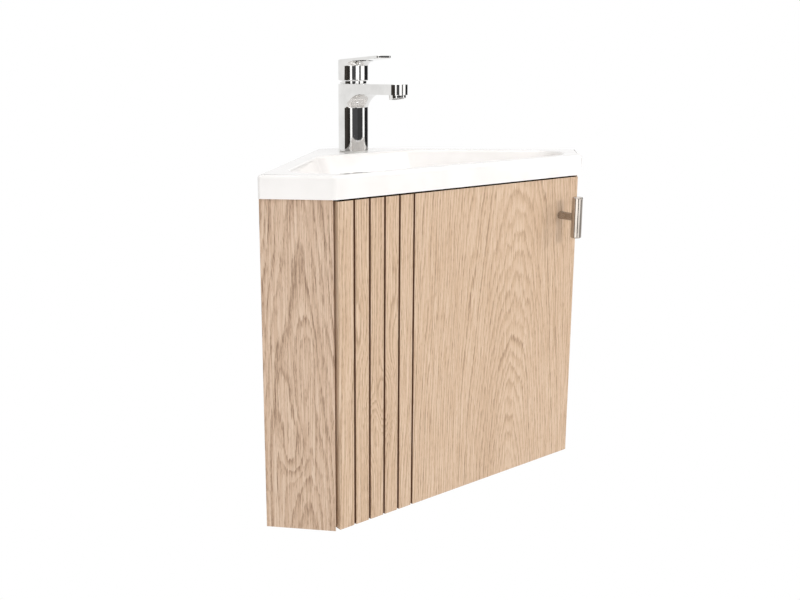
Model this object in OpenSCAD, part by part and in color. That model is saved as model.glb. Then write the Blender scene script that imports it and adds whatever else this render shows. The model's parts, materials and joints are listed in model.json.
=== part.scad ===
// Wall-hung corner vanity unit: oak-faced cabinet with one door across the
// room's corner, five-sided glazed basin, single-lever mixer, waste and trap.
// Millimetres. Origin: the line where the two walls meet, at the level of the
// cabinet's underside. +Z is up, the door looks along -Y and the walls run
// from the origin towards -X -Y (left wall) and +X -Y (right wall).

/* [Cabinet] */
// Height of the cabinet's side panels
cab_h = 460; // [380:1:560]
// Length of the cabinet along each wall
leg = 428; // [380:1:500]
// Depth of the short side panel that stands out from each wall
return_d = 98; // [80:1:130]
// Thickness of the cabinet boards
board = 16; // [12:0.5:19]
// Height of the top rails that take the wall screws
top_rail_h = 110; // [95:1:140]
// Height of the bottom rails
low_rail_h = 60; // [40:1:90]
// Width of the square post in the corner
post_w = 30; // [20:1:36]
// Width and depth of the strip that the door closes against
stop_w = 12; // [8:0.5:16]
// Free height left above the stop strip for the basin bowl
stop_drop = 45; // [38:1:80]

/* [Board joints] */
// Diameter of the wooden dowels
dowel_d = 8; // [6:0.5:10]
// Length of the wooden dowels
dowel_len = 30; // [24:1:36]
// Depth of a dowel in a panel's face
dowel_bite = 10; // [8:0.5:11]
// Distance of a dowel from a board's edge
dowel_edge = 22; // [18:1:28]
// Play round dowels and fittings in their holes
fit_gap = 0.15; // [0.1:0.05:0.3]
// Diameter of the cam disc
cam_d = 15; // [12:0.5:16]
// Height of the cam disc
cam_h = 11.5; // [9:0.5:12]
// Distance of the cam centre from the joint
cam_set = 24; // [20:1:34]
// Diameter of the cam bolt
cam_bolt_d = 6; // [5:0.5:7]

/* [Wall fixing] */
// Diameter of the wall screw holes
hang_d = 8; // [6:0.5:10]
// Distance of the first wall screw from the corner
hang_near = 100; // [85:1:140]
// Distance of the second wall screw from the corner
hang_far = 330; // [250:1:345]
// Height of the wall screws above the lower edge of the top rail
hang_up = 20; // [17:1:24]
// Side of the square steel plate round each wall screw
hang_plate = 34; // [28:1:40]
// Thickness of these plates
hang_plate_t = 2; // [1.5:0.5:3]

/* [Door] */
// Thickness of the door
door_t = 16; // [15:0.5:19]
// Gap between the door and each side panel
door_side_gap = 3.6; // [3.2:0.1:5]
// Gap between the door and the basin
door_top_gap = 2.6; // [1.5:0.1:5]
// Height of the door's lower edge above the cabinet's underside
door_low_gap = 3; // [0:0.5:6]
// How far the door's face stands in front of the side panels' corners
door_proud = 4.8; // [2:0.1:8]
// Number of upright grooves
groove_n = 5; // [0:1:9]
// Distance of the first groove from the door's left edge
groove_first = 26; // [15:0.5:40]
// Distance from groove to groove
groove_pitch = 25.3; // [15:0.1:40]
// Width of a groove at the face
groove_w = 3.6; // [2:0.1:6]
// Depth of a groove
groove_depth = 3; // [1:0.1:5]
// Rounding of the door's upright front edges
door_edge_r = 0.8; // [0.4:0.1:2]
// Thickness of the door bumpers
bumper_t = 1.5; // [1.2:0.1:3]
// Diameter of the door bumpers
bumper_d = 8; // [6:0.5:11]

/* [Hinges] */
// Distance of the hinge pin from the door's left edge
pin_in = 12; // [11.5:0.5:14]
// Distance of the hinge pin behind the door's face
pin_back = 9.5; // [8.5:0.5:10]
// Distance of each hinge from the end of the door
hinge_end = 95; // [90:1:140]
// Diameter of the hinge cup
cup_d = 35; // [35:0.5:36]
// Depth of the hinge cup in the door
cup_depth = 12; // [11.5:0.1:12.5]
// Wood left between the cup and the door's edge
cup_edge = 5; // [4:0.5:6]
// Diameter of the hinge pin
pin_d = 4; // [3:0.5:4.5]
// Width of the hinge arm
arm_w = 12; // [9:0.5:12]
// Thickness of the hinge arm's strip
arm_t = 2.5; // [2:0.1:3]
// Distance from the pin to the outgoing strip of the arm
arm_out = 10.75; // [10.5:0.05:12]
// Distance from the pin to the bend of the arm
arm_bend = 18.5; // [18:0.5:22]
// Distance of the mounting plate's screws from the side panel's front edge
plate_set = 37; // [32:1:45]
// Distance between the mounting plate's two screws
plate_screws = 32; // [26:1:36]

/* [Knob] */
// Distance of the knob from the door's right edge
knob_in = 38; // [25:1:60]
// Distance of the knob below the door's upper edge
knob_down = 57; // [45:1:150]
// Length of the knob's upright bar
bar_len = 63; // [40:1:80]
// Diameter of the bar
bar_d = 16; // [12:0.5:20]
// Distance of the bar's axis from the door's face
bar_out = 33; // [25:0.5:40]
// Diameter of the knob's post
knob_post_d = 12; // [8:0.5:14]
// Rounding of the bar's ends
bar_round = 2.5; // [1:0.1:3.5]

/* [Basin] */
// Height of the basin's edge
basin_edge = 31; // [26:1:50]
// How far the basin stands past the side panels
basin_over = 6; // [0:0.5:12]
// How far the basin stands past the door's face
basin_front_over = 2.2; // [0:0.1:12]
// Length cut off each wall edge at the basin's inner corner
corner_cut = 35; // [15:1:45]
// Thickness of the glazed shell
shell = 9; // [8:0.5:11]
// Thickness of the basin's deck
deck_t = 12; // [10:0.5:15]
// Width of the basin's rim along the walls
rim_wall = 25; // [24:0.5:35]
// Width of the rim at the short sides
rim_side = 24; // [23:0.5:32]
// Width of the rim along the front
rim_front = 17; // [16:0.5:22]
// Distance from the corner to the front edge of the tap's deck
deck_n = 135; // [130:1:145]
// Depth of the bowl at the waste
bowl_depth = 100; // [90:1:104]
// Fall of the bowl's floor towards the waste
floor_fall = 14; // [8:1:18]
// Slope of the bowl's walls from upright
wall_draft = 17; // [15:0.5:18]
// Rounding of the basin's upper edges
edge_r = 5; // [2:0.5:6]
// Distance of the waste from the corner
waste_n = 245; // [236:1:255]

/* [Tap] */
// Distance of the tap's axis from the corner
tap_n = 97.6; // [95:0.1:102]
// Diameter of the hole in the basin for the tap
tap_hole_d = 35; // [33:0.5:36]
// Diameter of the tap's column
tap_d = 49; // [46:0.5:52]
// Height of the tap's column
tap_h = 109; // [100:1:125]
// Distance from the tap's axis to the aerator
spout_reach = 114; // [95:1:130]
// Width of the spout at its end
spout_w = 32; // [29:0.5:36]
// Thickness of the spout
spout_t = 16; // [14:0.5:20]
// Radius of the hollow curve under the spout
spout_blend = 26; // [15:1:32]
// Tilt of the aerator
aerator_tilt = 9; // [0:1:10]
// Diameter of the aerator's collar
aerator_d = 26; // [24:0.5:28]
// Height of the lever's cap at the back
cap_h = 32.5; // [31:0.5:40]
// Distance from the tap's axis to the lever's tip
lever_reach = 84; // [70:1:100]
// Width of the lever's tip
lever_w = 26; // [18:0.5:34]
// Thickness of the lever's blade
lever_t = 4.5; // [3.5:0.1:7]
// Rise of the lever from back to tip
lever_rise = 6.3; // [0:0.1:10]
// Height of the neck between the column and the cap
neck_h = 5; // [4.8:0.1:6]
// How far the lever lifts
lever_lift = 20; // [10:1:20]
// Diameter of the threaded holes for the supply hoses
inlet_d = 9; // [8:0.5:10]

/* [Waste and trap] */
// Diameter of the waste's flange
waste_d = 64; // [60:1:68]
// Outer diameter of the waste's threaded tail
tail_d = 41.8; // [38:0.2:43]
// Length of the threaded tail
tail_len = 62; // [55:1:80]
// Thickness of the waste plug
plug_t = 4; // [3:0.5:6]
// Diameter of the waste plug's stem
stem_d = 8; // [6:0.5:10]
// Outer diameter of the waste pipes
pipe_d = 32; // [28:1:34]
// Wall of the waste pipes
pipe_wall = 1.8; // [1.5:0.1:2.5]
// Diameter of the trap's bottle
bottle_d = 62; // [58:1:70]
// Height of the trap's body
trap_h = 62; // [58:1:75]
// Height of the trap's cup
trap_cup_h = 48; // [35:1:60]
// Free drop from the tail to the trap's neck
trap_drop = 42; // [36:1:55]
// Length of the outlet pipe's turned end, which stands in the wall
spigot_len = 30; // [20:1:60]
// Diameter of the wall rose
rose_d = 66; // [56:1:80]

/* [Hidden] */
$fn = 64;

root2 = sqrt(2);
eps = 0.01;

// Places measured from the corner along its bisector end in _n.
corner_n = (leg + return_d) / root2;          // front corners of the side panels
half_front = (leg - return_d) / root2;        // half the width between these corners
inner_n = corner_n - board * root2;           // inner end of the side panels' mitred edge
door_front_n = corner_n + door_proud;
door_back_n = door_front_n - door_t;
door_half = half_front - door_side_gap;
door_low = door_low_gap;
door_top = cab_h - door_top_gap;
stop_n = door_back_n - bumper_t;              // what the door closes against
inside = leg - board;                         // inner faces of the side panels

rim_z = cab_h + basin_edge;
basin_leg = leg + basin_over;
basin_front_n = door_front_n + basin_front_over;
floor_z = rim_z - bowl_depth;

pin_x = -door_half + pin_in;
pin_n = door_front_n - pin_back;
door_sweep = norm([pin_in, max(pin_back, door_t - pin_back)]) + 0.7;  // free radius round the pin
hinge_zs = [door_low + hinge_end, door_top - hinge_end];
cup_x = -door_half + cup_edge + cup_d / 2;
cup_wall = 1;
cup_flange_t = 1.2;
cup_screw_z = 24;
cup_screw_d = 3.5;
bend_x = pin_x + arm_out;
bend_n = pin_n - arm_bend;
bend_wall = to_walls(bend_x, bend_n);         // the arm's bend, measured along the walls
seat_gap = 0.05;                              // free gap under a fitting that is screwed down
plate_h = inside - bend_wall[0] - arm_t / 2 - seat_gap;  // height of the mounting plates
plate_y = return_d - board - plate_set;
plate_body = 40;
plate_w = 14;
plate_screw_d = 4;

knob_x = door_half - knob_in;
knob_z = door_top - knob_down;
knob_screw_d = 4;
bar_n = door_front_n + bar_out;

hang_z = cab_h - top_rail_h + hang_up;
hang_xs = [hang_near, hang_far];
stop_top = cab_h - stop_drop;

// ---------- helpers ----------

// Wall coordinates (along the left wall, along the right wall) of a point given
// by its sideways place x and its distance n from the corner.
function to_walls(x, n) = [(n - x) / root2, (n + x) / root2];

// Turns wall coordinates into the part's own: +X runs along the left wall and
// +Y along the right wall.
module on_walls() {
    rotate(225) children();
}

// Mirror image on the right half of the unit.
module on_right() {
    mirror([1, 0, 0]) children();
}

// Places children on the corner's bisector, n from the corner, at height z.
module at_n(n, z = 0, x = 0) {
    translate([x, -n, z]) children();
}

// A rod along +Y that starts at the origin.
module rod_y(d, h) {
    rotate([-90, 0, 0]) cylinder(d = d, h = h);
}

// A rod along +X that starts at the origin.
module rod_x(d, h) {
    rotate([0, 90, 0]) cylinder(d = d, h = h);
}

// A tube along +Z that starts at the origin.
module tube(d_out, d_in, h) {
    difference() {
        cylinder(d = d_out, h = h);
        translate([0, 0, -1]) cylinder(d = d_in, h = h + 2);
    }
}

// A screw with a flat round head that stands on the origin's plane.
module pan_screw(d, len) {
    cylinder(d = 2 * d, h = d / 2);
    translate([0, 0, -len]) cylinder(d = d, h = len + eps);
}

function unit(v) = v / norm(v);
function inward(a, b) = let(u = unit(b - a)) [-u[1], u[0]];

// Corners of a convex outline moved inwards by d (counter-clockwise points).
function inset(p, d) = [
    for (i = [0:len(p) - 1])
        let(
            a = p[(i + len(p) - 1) % len(p)],
            b = p[i],
            c = p[(i + 1) % len(p)],
            n1 = inward(a, b),
            n2 = inward(b, c)
        )
        b + d * (n1 + n2) / (1 + n1 * n2)
];

// The outline with its corners rounded to the radii r, in steps arcs each.
function rounded(p, r, steps) = [
    for (i = [0:len(p) - 1])
        let(
            a = p[(i + len(p) - 1) % len(p)],
            b = p[i],
            c = p[(i + 1) % len(p)],
            n1 = inward(a, b),
            n2 = inward(b, c),
            turn = acos(n1 * n2),
            start = atan2(-n1[1], -n1[0]),
            centre = b - unit(b - a) * r[i] * tan(turn / 2) + n1 * r[i]
        )
        for (k = [0:steps])
            centre + r[i] * [cos(start + turn * k / steps), sin(start + turn * k / steps)]
];

function lifted(ring, z) = [for (q = ring) [q[0], q[1], z]];

// A closed solid through rings of equal length, from the lowest to the highest.
module loft(rings) {
    n = len(rings[0]);
    last = (len(rings) - 1) * n;
    sides = [
        for (j = [0:len(rings) - 2])
            for (i = [0:n - 1])
                let(a = j * n + i, b = j * n + (i + 1) % n)
                each [[a, a + n, b + n], [a, b + n, b]]
    ];
    lower = [for (i = [0:n - 1]) i];
    upper = [for (i = [n - 1:-1:0]) last + i];
    polyhedron(points = [for (ring = rings) each ring], faces = concat([lower, upper], sides));
}

// ---------- cabinet boards ----------

dowel_gap_d = dowel_d + 2 * fit_gap;
cam_hole_d = cam_d + 2 * fit_gap;
bolt_hole_d = cam_bolt_d + 2 * fit_gap;
cam_bite = 11;

// Dowels between a board's end and the left side panel, as [along the right wall, z].
bottom_dowels = [[dowel_edge, board / 2], [return_d - board - dowel_edge, board / 2]];
top_rail_dowels = [
    [board / 2, cab_h - dowel_edge],
    [board / 2, cab_h - top_rail_h + dowel_edge]
];
low_rail_dowels = [[board / 2, board + low_rail_h - dowel_edge]];
side_dowels = concat(bottom_dowels, top_rail_dowels, low_rail_dowels);
cam_bottom = [(bottom_dowels[0][0] + bottom_dowels[1][0]) / 2, board / 2];
cam_rail = [board / 2, cab_h - top_rail_h / 2];

// Dowel holes or dowels that cross the left side panel's inner face.
module side_pegs(d, extra) {
    for (p = side_dowels)
        translate([inside - dowel_len + dowel_bite - extra, p[0], p[1]])
            rod_x(d, dowel_len + 2 * extra);
}

// Cam bolts, or the holes for them, that cross the same face.
module side_bolts(d, extra) {
    for (p = [cam_bottom, cam_rail])
        translate([inside - cam_set - extra, p[0], p[1]]) rod_x(d, cam_set + cam_bite + 2 * extra);
}

// Discs, or their pockets: one from the bottom panel's top, one from the rail's inner face.
module side_cams(d, extra) {
    translate([inside - cam_set, cam_bottom[0], board - cam_h]) cylinder(d = d, h = cam_h + extra);
    translate([inside - cam_set, board - cam_h, cam_rail[1]]) rod_y(d, cam_h + extra);
}

module side_panel_board() {
    on_walls() difference() {
        linear_extrude(cab_h)
            polygon([[inside, 0], [leg, 0], [leg, return_d], [inside, return_d - board]]);
        side_pegs(dowel_gap_d, 0.5);
        side_bolts(bolt_hole_d, 0.5);
    }
}

module left_side_panel() {
    color("BurlyWood") difference() {
        side_panel_board();
        for (z = hinge_zs) plate_screw_holes(z);
    }
}

module right_side_panel() {
    color("BurlyWood") on_right() side_panel_board();
}

module bottom_panel() {
    front = stop_n * root2 - inside;
    color("Tan") difference() {
        on_walls() linear_extrude(board)
            polygon([[0, 0], [inside, 0], [inside, front], [front, inside], [0, inside]]);
        for (side = [0, 1]) mirror([side, 0, 0]) on_walls() {
            side_pegs(dowel_gap_d, 0.5);
            side_bolts(bolt_hole_d, 0.5);
            side_cams(cam_hole_d, 1);
        }
        at_n(pin_n, -1, pin_x) cylinder(r = door_sweep, h = board + 2);
    }
}

// The rail's wall screw holes.
module hang_holes(z) {
    for (x = hang_xs) translate([x, -1, z]) rod_y(hang_d, board + hang_plate_t + 2);
}

module rail_board(from, z, h) {
    on_walls() difference() {
        translate([from, 0, z]) cube([inside - from, board, h]);
        side_pegs(dowel_gap_d, 0.5);
        side_bolts(bolt_hole_d, 0.5);
        side_cams(cam_hole_d, 1);
        hang_holes(hang_z);
        hang_plate_holes();
    }
}

module left_top_rail() {
    color("Tan") rail_board(board, cab_h - top_rail_h, top_rail_h);
}

module right_top_rail() {
    color("Tan") on_right() rail_board(0, cab_h - top_rail_h, top_rail_h);
}

module left_bottom_rail() {
    color("Tan") rail_board(board, board, low_rail_h);
}

module right_bottom_rail() {
    color("Tan") on_right() rail_board(0, board, low_rail_h);
}

module corner_post() {
    color("Tan") on_walls() translate([board, board, board])
        cube([post_w, post_w, cab_h - board]);
}

module door_stop_strip() {
    color("Tan") translate([half_front - stop_w, -stop_n, board])
        cube([stop_w, stop_w, stop_top - board]);
}

module board_dowels() {
    color("Wheat") for (side = [0, 1]) mirror([side, 0, 0]) on_walls()
        side_pegs(dowel_d, 0);
}

module cam_discs() {
    color("Silver") for (side = [0, 1]) mirror([side, 0, 0]) on_walls() difference() {
        side_cams(cam_d, 0);
        side_bolts(bolt_hole_d + 0.4, 1);
    }
}

module cam_bolts() {
    color("Silver") for (side = [0, 1]) mirror([side, 0, 0]) on_walls()
        side_bolts(cam_bolt_d, 0);
}

// ---------- wall fixing ----------

hang_screw_d = 3.5;
hang_screw_len = 14;
hang_screw_in = 6;

// Runs children at each small screw of the wall screw plates.
module at_hang_screws() {
    for (x = hang_xs) for (side = [-1, 1])
        translate([x + side * (hang_plate / 2 - hang_screw_in), board, hang_z]) children();
}

module hang_plate_holes() {
    at_hang_screws() translate([0, -hang_screw_len, 0])
        rod_y(hang_screw_d + 2 * fit_gap, hang_screw_len + hang_plate_t + 1);
}

module hanger_plates() {
    color("Silver") for (side = [0, 1]) mirror([side, 0, 0]) on_walls() difference() {
        for (x = hang_xs) translate([x - hang_plate / 2, board, hang_z - hang_plate / 2])
            cube([hang_plate, hang_plate_t, hang_plate]);
        hang_holes(hang_z);
        hang_plate_holes();
    }
}

module hanger_plate_screws() {
    color("Silver") for (side = [0, 1]) mirror([side, 0, 0]) on_walls() at_hang_screws()
        translate([0, hang_plate_t, 0]) rotate([-90, 0, 0])
            pan_screw(hang_screw_d, hang_screw_len);
}

// ---------- door ----------

module door_outline() {
    difference() {
        union() {
            translate([-door_half, -door_front_n + door_edge_r])
                square([2 * door_half, door_t - door_edge_r]);
            translate([-door_half + door_edge_r, -door_front_n])
                square([2 * (door_half - door_edge_r), door_t]);
            for (s = [-1, 1])
                translate([s * (door_half - door_edge_r), -door_front_n + door_edge_r])
                    circle(r = door_edge_r);
        }
        if (groove_n > 0) for (k = [0:groove_n - 1])
            translate([-door_half + groove_first + k * groove_pitch, -door_front_n])
                polygon([
                    [-groove_w / 2 - 0.2, -1], [groove_w / 2 + 0.2, -1],
                    [groove_w / 2 - 0.5, groove_depth], [-groove_w / 2 + 0.5, groove_depth]
                ]);
    }
}

module door_panel() {
    color("BurlyWood") difference() {
        translate([0, 0, door_low]) linear_extrude(door_top - door_low) door_outline();
        for (z = hinge_zs) {
            at_n(door_back_n + cup_depth, z, cup_x) rod_y(cup_d + 2 * fit_gap, cup_depth + 1);
            for (s = [-1, 1]) at_n(door_back_n + cup_depth - 1, z + s * cup_screw_z, cup_x)
                rod_y(cup_screw_d + 2 * fit_gap, cup_depth);
        }
        at_n(door_front_n + 1, knob_z, knob_x) rod_y(knob_screw_d + 0.5, door_t + 2);
    }
}

module door_bumpers() {
    color("WhiteSmoke") for (z = [board + bumper_d, stop_top - bumper_d])
        at_n(stop_n + bumper_t - 0.3, z, half_front - stop_w / 2) rod_y(bumper_d, bumper_t - 0.3);
}

// ---------- hinges ----------

ear_t = 2;
ear_gap = 0.2;
pin_fit = 0.03;
knuckle_r = pin_d / 2 + 1.6;
cup_floor_n = door_back_n + cup_depth - 0.1;

// The plate's screw holes, through the plate and into the left side panel.
module plate_screw_holes(z) {
    for (s = [-1, 1]) on_walls()
        translate([inside - 3, plate_y, z + s * plate_screws / 2])
            rod_x(plate_screw_d + 2 * fit_gap, board - 1);
}

module hinge_plate(z) {
    color("Silver") difference() {
        on_walls() {
            translate([inside - 2, plate_y - 6, z - plate_screws / 2 - 6])
                cube([2, 12, plate_screws + 12]);
            translate([inside - plate_h, plate_y - plate_body / 2, z - plate_w / 2])
                cube([plate_h, plate_body, plate_w]);
        }
        plate_screw_holes(z);
        on_walls() translate([inside - plate_h - 1, plate_y + 8, z]) rod_x(5 + 2 * fit_gap, 11);
    }
}

module upper_hinge_plate() {
    hinge_plate(hinge_zs[1]);
}

module lower_hinge_plate() {
    hinge_plate(hinge_zs[0]);
}

module hinge_plate_screws() {
    color("Silver") for (z = hinge_zs) for (s = [-1, 1]) on_walls()
        translate([inside - 2, plate_y, z + s * plate_screws / 2]) rotate([0, -90, 0])
            pan_screw(plate_screw_d, 13);
}

// A straight strip of the arm in plan, with round ends.
module strip(from, to) {
    length = norm(to - from);
    translate(from) rotate(atan2(to[1] - from[1], to[0] - from[0])) {
        translate([0, -arm_t / 2]) square([length, arm_t]);
        circle(d = arm_t);
        translate([length, 0]) circle(d = arm_t);
    }
}

module hinge_arm(z) {
    run = bend_wall[1] - plate_y + plate_body / 2;
    color("Silver") at_n(pin_n, z - arm_w / 2, pin_x) difference() {
        linear_extrude(arm_w) {
            circle(r = knuckle_r);
            strip([0, 0], [arm_out, 0]);
            strip([arm_out, 0], [arm_out, arm_bend]);
            strip([arm_out, arm_bend], [arm_out, arm_bend] + run * [-1, 1] / root2);
        }
        translate([0, 0, -1]) cylinder(d = pin_d + 4 * pin_fit, h = arm_w + 2);
        translate([-pin_x, pin_n, arm_w / 2]) on_walls()
            translate([inside - plate_h - 10, plate_y + 8, 0]) rod_x(5 + 2 * fit_gap, 20);
    }
}

module upper_hinge_arm() {
    hinge_arm(hinge_zs[1]);
}

module lower_hinge_arm() {
    hinge_arm(hinge_zs[0]);
}

module hinge_arm_screws() {
    color("Silver") for (z = hinge_zs) on_walls()
        translate([inside - plate_h - arm_t - 2 * seat_gap, plate_y + 8, z]) rotate([0, -90, 0])
            pan_screw(5, arm_t + 9);
}

module hinge_cup(z) {
    ear_tip_n = pin_n - pin_d / 2 - 1.5;
    color("Silver") difference() {
        union() {
            at_n(cup_floor_n, z, cup_x) rod_y(cup_d, cup_depth - 0.1);
            at_n(door_back_n, z, cup_x) {
                rod_y(cup_d + 4, cup_flange_t);
                translate([-9, 0, -cup_screw_z - 5]) cube([18, cup_flange_t, 2 * cup_screw_z + 10]);
            }
        }
        difference() {
            at_n(cup_floor_n - cup_wall, z, cup_x) rod_y(cup_d - 2 * cup_wall, cup_depth + 5);
            for (s = [-1, 1])
                at_n(cup_floor_n, z + s * (arm_w / 2 + ear_gap + ear_t / 2) - ear_t / 2, pin_x - 4)
                    cube([8, cup_floor_n - ear_tip_n, ear_t]);
        }
        at_n(pin_n, z - cup_d, pin_x) cylinder(d = pin_d + 2 * pin_fit, h = 2 * cup_d);
        for (s = [-1, 1]) at_n(door_back_n + 1, z + s * cup_screw_z, cup_x)
            rod_y(cup_screw_d + 2 * fit_gap, cup_flange_t + 3);
    }
}

module upper_hinge_cup() {
    hinge_cup(hinge_zs[1]);
}

module lower_hinge_cup() {
    hinge_cup(hinge_zs[0]);
}

module hinge_pins() {
    pin_len = arm_w + 2 * (ear_gap + ear_t) + 0.6;
    color("Silver") for (z = hinge_zs)
        at_n(pin_n, z - pin_len / 2, pin_x) cylinder(d = pin_d, h = pin_len);
}

module hinge_cup_screws() {
    color("Silver") for (z = hinge_zs) for (s = [-1, 1])
        at_n(door_back_n - cup_flange_t, z + s * cup_screw_z, cup_x) rotate([-90, 0, 0])
            pan_screw(cup_screw_d, cup_depth);
}

// ---------- knob ----------

tenon_d = 6;
tenon_len = 5;

module knob_bar() {
    straight = bar_len - 2 * bar_round;
    color("Silver") at_n(bar_n, knob_z, knob_x) difference() {
        union() {
            cylinder(d = bar_d, h = straight, center = true);
            cylinder(d = bar_d - 2 * bar_round, h = bar_len, center = true);
            for (s = [-1, 1]) translate([0, 0, s * straight / 2])
                rotate_extrude() translate([bar_d / 2 - bar_round, 0]) circle(r = bar_round);
        }
        translate([0, bar_d / 2 - tenon_len, 0]) rod_y(tenon_d + 2 * fit_gap, bar_d);
    }
}

module knob_post() {
    color("Silver") difference() {
        union() {
            difference() {
                at_n(bar_n, knob_z, knob_x) rod_y(knob_post_d, bar_out);
                at_n(bar_n, knob_z - bar_len, knob_x) cylinder(d = bar_d, h = 2 * bar_len);
            }
            at_n(bar_n, knob_z, knob_x) translate([0, bar_d / 2 - tenon_len + 0.2, 0])
                rod_y(tenon_d, tenon_len + 2);
        }
        at_n(door_front_n + 13, knob_z, knob_x) rod_y(knob_screw_d + 2 * fit_gap, 14);
    }
}

module knob_screw() {
    color("Silver") at_n(door_back_n, knob_z, knob_x) rotate([-90, 0, 0])
        pan_screw(knob_screw_d, door_t + 11);
}

// ---------- basin ----------

basin_front = basin_front_n * root2 - basin_leg;
outline = [
    [corner_cut, 0], [basin_leg, 0], [basin_leg, basin_front],
    [basin_front, basin_leg], [0, basin_leg], [0, corner_cut]
];
outline_r = [6, 4, 8, 8, 4, 6];

// The bowl's opening: deck edge, wall edges, short sides and front edge.
bowl_end = basin_leg - rim_side;
deck_edge = deck_n * root2 - rim_wall;
bowl_front = (basin_front_n - rim_front) * root2 - bowl_end;
bowl = [
    [deck_edge, rim_wall], [bowl_end, rim_wall], [bowl_end, bowl_front],
    [bowl_front, bowl_end], [rim_wall, bowl_end], [rim_wall, deck_edge]
];
bowl_r = [60, 45, 45, 45, 45, 60];
bowl_arc = 6;

// The bowl's section from lip to floor as [distance inwards, depth].
hollow_r = 16;
wall_low = bowl_depth - floor_fall - hollow_r;
lip = edge_r;
wall_top = [lip * cos(wall_draft), lip * (1 - sin(wall_draft))];
wall_foot = [wall_top[0] + (wall_low - wall_top[1]) * tan(wall_draft), wall_low];
section = concat(
    [
        for (a = [0:19:76])
            lip * [sin(a * (90 - wall_draft) / 76), 1 - cos(a * (90 - wall_draft) / 76)]
    ],
    [
        for (a = [0:20:80])
            wall_foot + hollow_r * [
                cos(wall_draft) - cos(wall_draft + a * (84 - wall_draft) / 80),
                sin(wall_draft + a * (84 - wall_draft) / 80) - sin(wall_draft)
            ]
    ]
);
floor_edge = section[len(section) - 1];

function bowl_ring(d) = rounded(inset(bowl, d), [for (r = bowl_r) max(r - d, 12)], bowl_arc);
function toward_waste(ring, r, k) = [
    for (q = ring)
        let(c = to_walls(0, waste_n), goal = c + r * unit(q - c))
        q + k * (goal - q)
];
seat_d = waste_d + 3;

// The open space inside the bowl, from its floor to above the rim.
module bowl_space() {
    last = bowl_ring(floor_edge[0]);
    floor_rings = [
        for (k = [3:-1:1])
            lifted(
                toward_waste(last, seat_d / 2 - 4, k / 3),
                rim_z - floor_edge[1] - (bowl_depth - floor_edge[1]) * k / 3
            )
    ];
    wall_rings = [
        for (i = [len(section) - 1:-1:0]) lifted(bowl_ring(section[i][0]), rim_z - section[i][1])
    ];
    loft(concat(floor_rings, wall_rings, [lifted(bowl_ring(0), rim_z + 5)]));
}

// The shell round that space, from under the floor up into the deck.
module bowl_shell() {
    last = bowl_ring(floor_edge[0] - 1);
    under = [
        for (k = [3:-1:1])
            lifted(
                toward_waste(last, seat_d / 2 + shell, k / 3),
                rim_z - floor_edge[1] - shell - (bowl_depth - floor_edge[1]) * k / 3
            )
    ];
    hollow = [
        for (a = [80:-20:0])
            let(t = wall_draft + a * (84 - wall_draft) / 80)
            lifted(
                bowl_ring(
                    wall_foot[0] + hollow_r * cos(wall_draft) - (hollow_r + shell) * cos(t)
                ),
                rim_z - wall_foot[1] + hollow_r * sin(wall_draft) - (hollow_r + shell) * sin(t)
            )
    ];
    top = lifted(bowl_ring(wall_top[0] - shell), rim_z - edge_r - 1);
    loft(concat(under, hollow, [top]));
}

module basin_slab() {
    rings = [
        [0, cab_h],
        for (a = [0:22.5:90]) [edge_r * (1 - cos(a)), rim_z - edge_r * (1 - sin(a))]
    ];
    loft([
        for (q = rings)
            lifted(rounded(inset(outline, q[0]), [for (r = outline_r) max(r - q[0], 1.5)], 4), q[1])
    ]);
}

// Thickness of the front skirt, which the shell's front wall runs into.
front_skirt = rim_front + 13;

// What is hollow under the deck, inside the skirt.
module deck_hollow() {
    inner = inset(outline, deck_t);
    end = inner[1][0];
    front = (basin_front_n - front_skirt) * root2 - end;
    linear_extrude(rim_z - deck_t)
        polygon([inner[0], inner[1], [end, front], [front, end], inner[4], inner[5]]);
}

module basin() {
    color("White") difference() {
        union() {
            on_walls() difference() {
                basin_slab();
                deck_hollow();
            }
            difference() {
                on_walls() bowl_shell();
                at_n(tap_n, cab_h - 50) cylinder(d = tap_d, h = 50 + basin_edge - deck_t);
                for (s = [-1, 1]) at_n(pin_n, floor_z, s * pin_x)
                    cylinder(r = door_sweep / cos(180 / 12), h = cab_h - floor_z, $fn = 12);
            }
            at_n(waste_n, floor_z - shell - 6) cylinder(d = seat_d + 6, h = shell + 2);
        }
        on_walls() bowl_space();
        at_n(tap_n, cab_h - 1) cylinder(d = tap_hole_d, h = basin_edge + 2);
        at_n(waste_n, floor_z - 4) cylinder(d = seat_d, h = 40);
        at_n(waste_n, floor_z - shell - 20) cylinder(d = tail_d + 4, h = shell + 40);
    }
}

// ---------- tap ----------
// Heights below are above the basin's deck.

module at_tap() {
    at_n(tap_n, rim_z) children();
}

gasket_t = 1.5;
base_hollow = 30;        // height of the hollow in the tap's foot
thread_len = 15;         // length of the threads above that hollow
inlet_x = 8.5;
inlet_y = 5;
stud_y = -11;
stud_d = 8;
chamber_d = 36;          // cartridge chamber
chamber_low = 64;
collar_low = tap_h - 13; // where the cartridge nut's wider thread starts
nut_d = 40;
spout_low = tap_h - spout_t;
spout_end_r = spout_w / 2;
aerator_r = aerator_d / 2;
housing_up = 2.2;
housing_out = 6.3;

flare_in = 0.3;          // a hollow curve starts this far inside the column
flare_step = 0.4;        // and its sides stand back this much

// Outline of two circles and the straight sides that touch both.
module tapered_plan(r1, r2, reach) {
    a = acos((r1 - r2) / reach);
    circle(r = r1);
    translate([0, -reach]) circle(r = r2);
    polygon([
        r1 * [sin(a), -cos(a)], [0, -reach] + r2 * [sin(a), -cos(a)],
        [0, -reach] + r2 * [-sin(a), -cos(a)], r1 * [-sin(a), -cos(a)]
    ]);
}

// Extrudes a section drawn as [y, z] across the tap.
module across(width) {
    rotate([90, 0, 90]) translate([0, 0, -width / 2]) linear_extrude(width) children();
}

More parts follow.
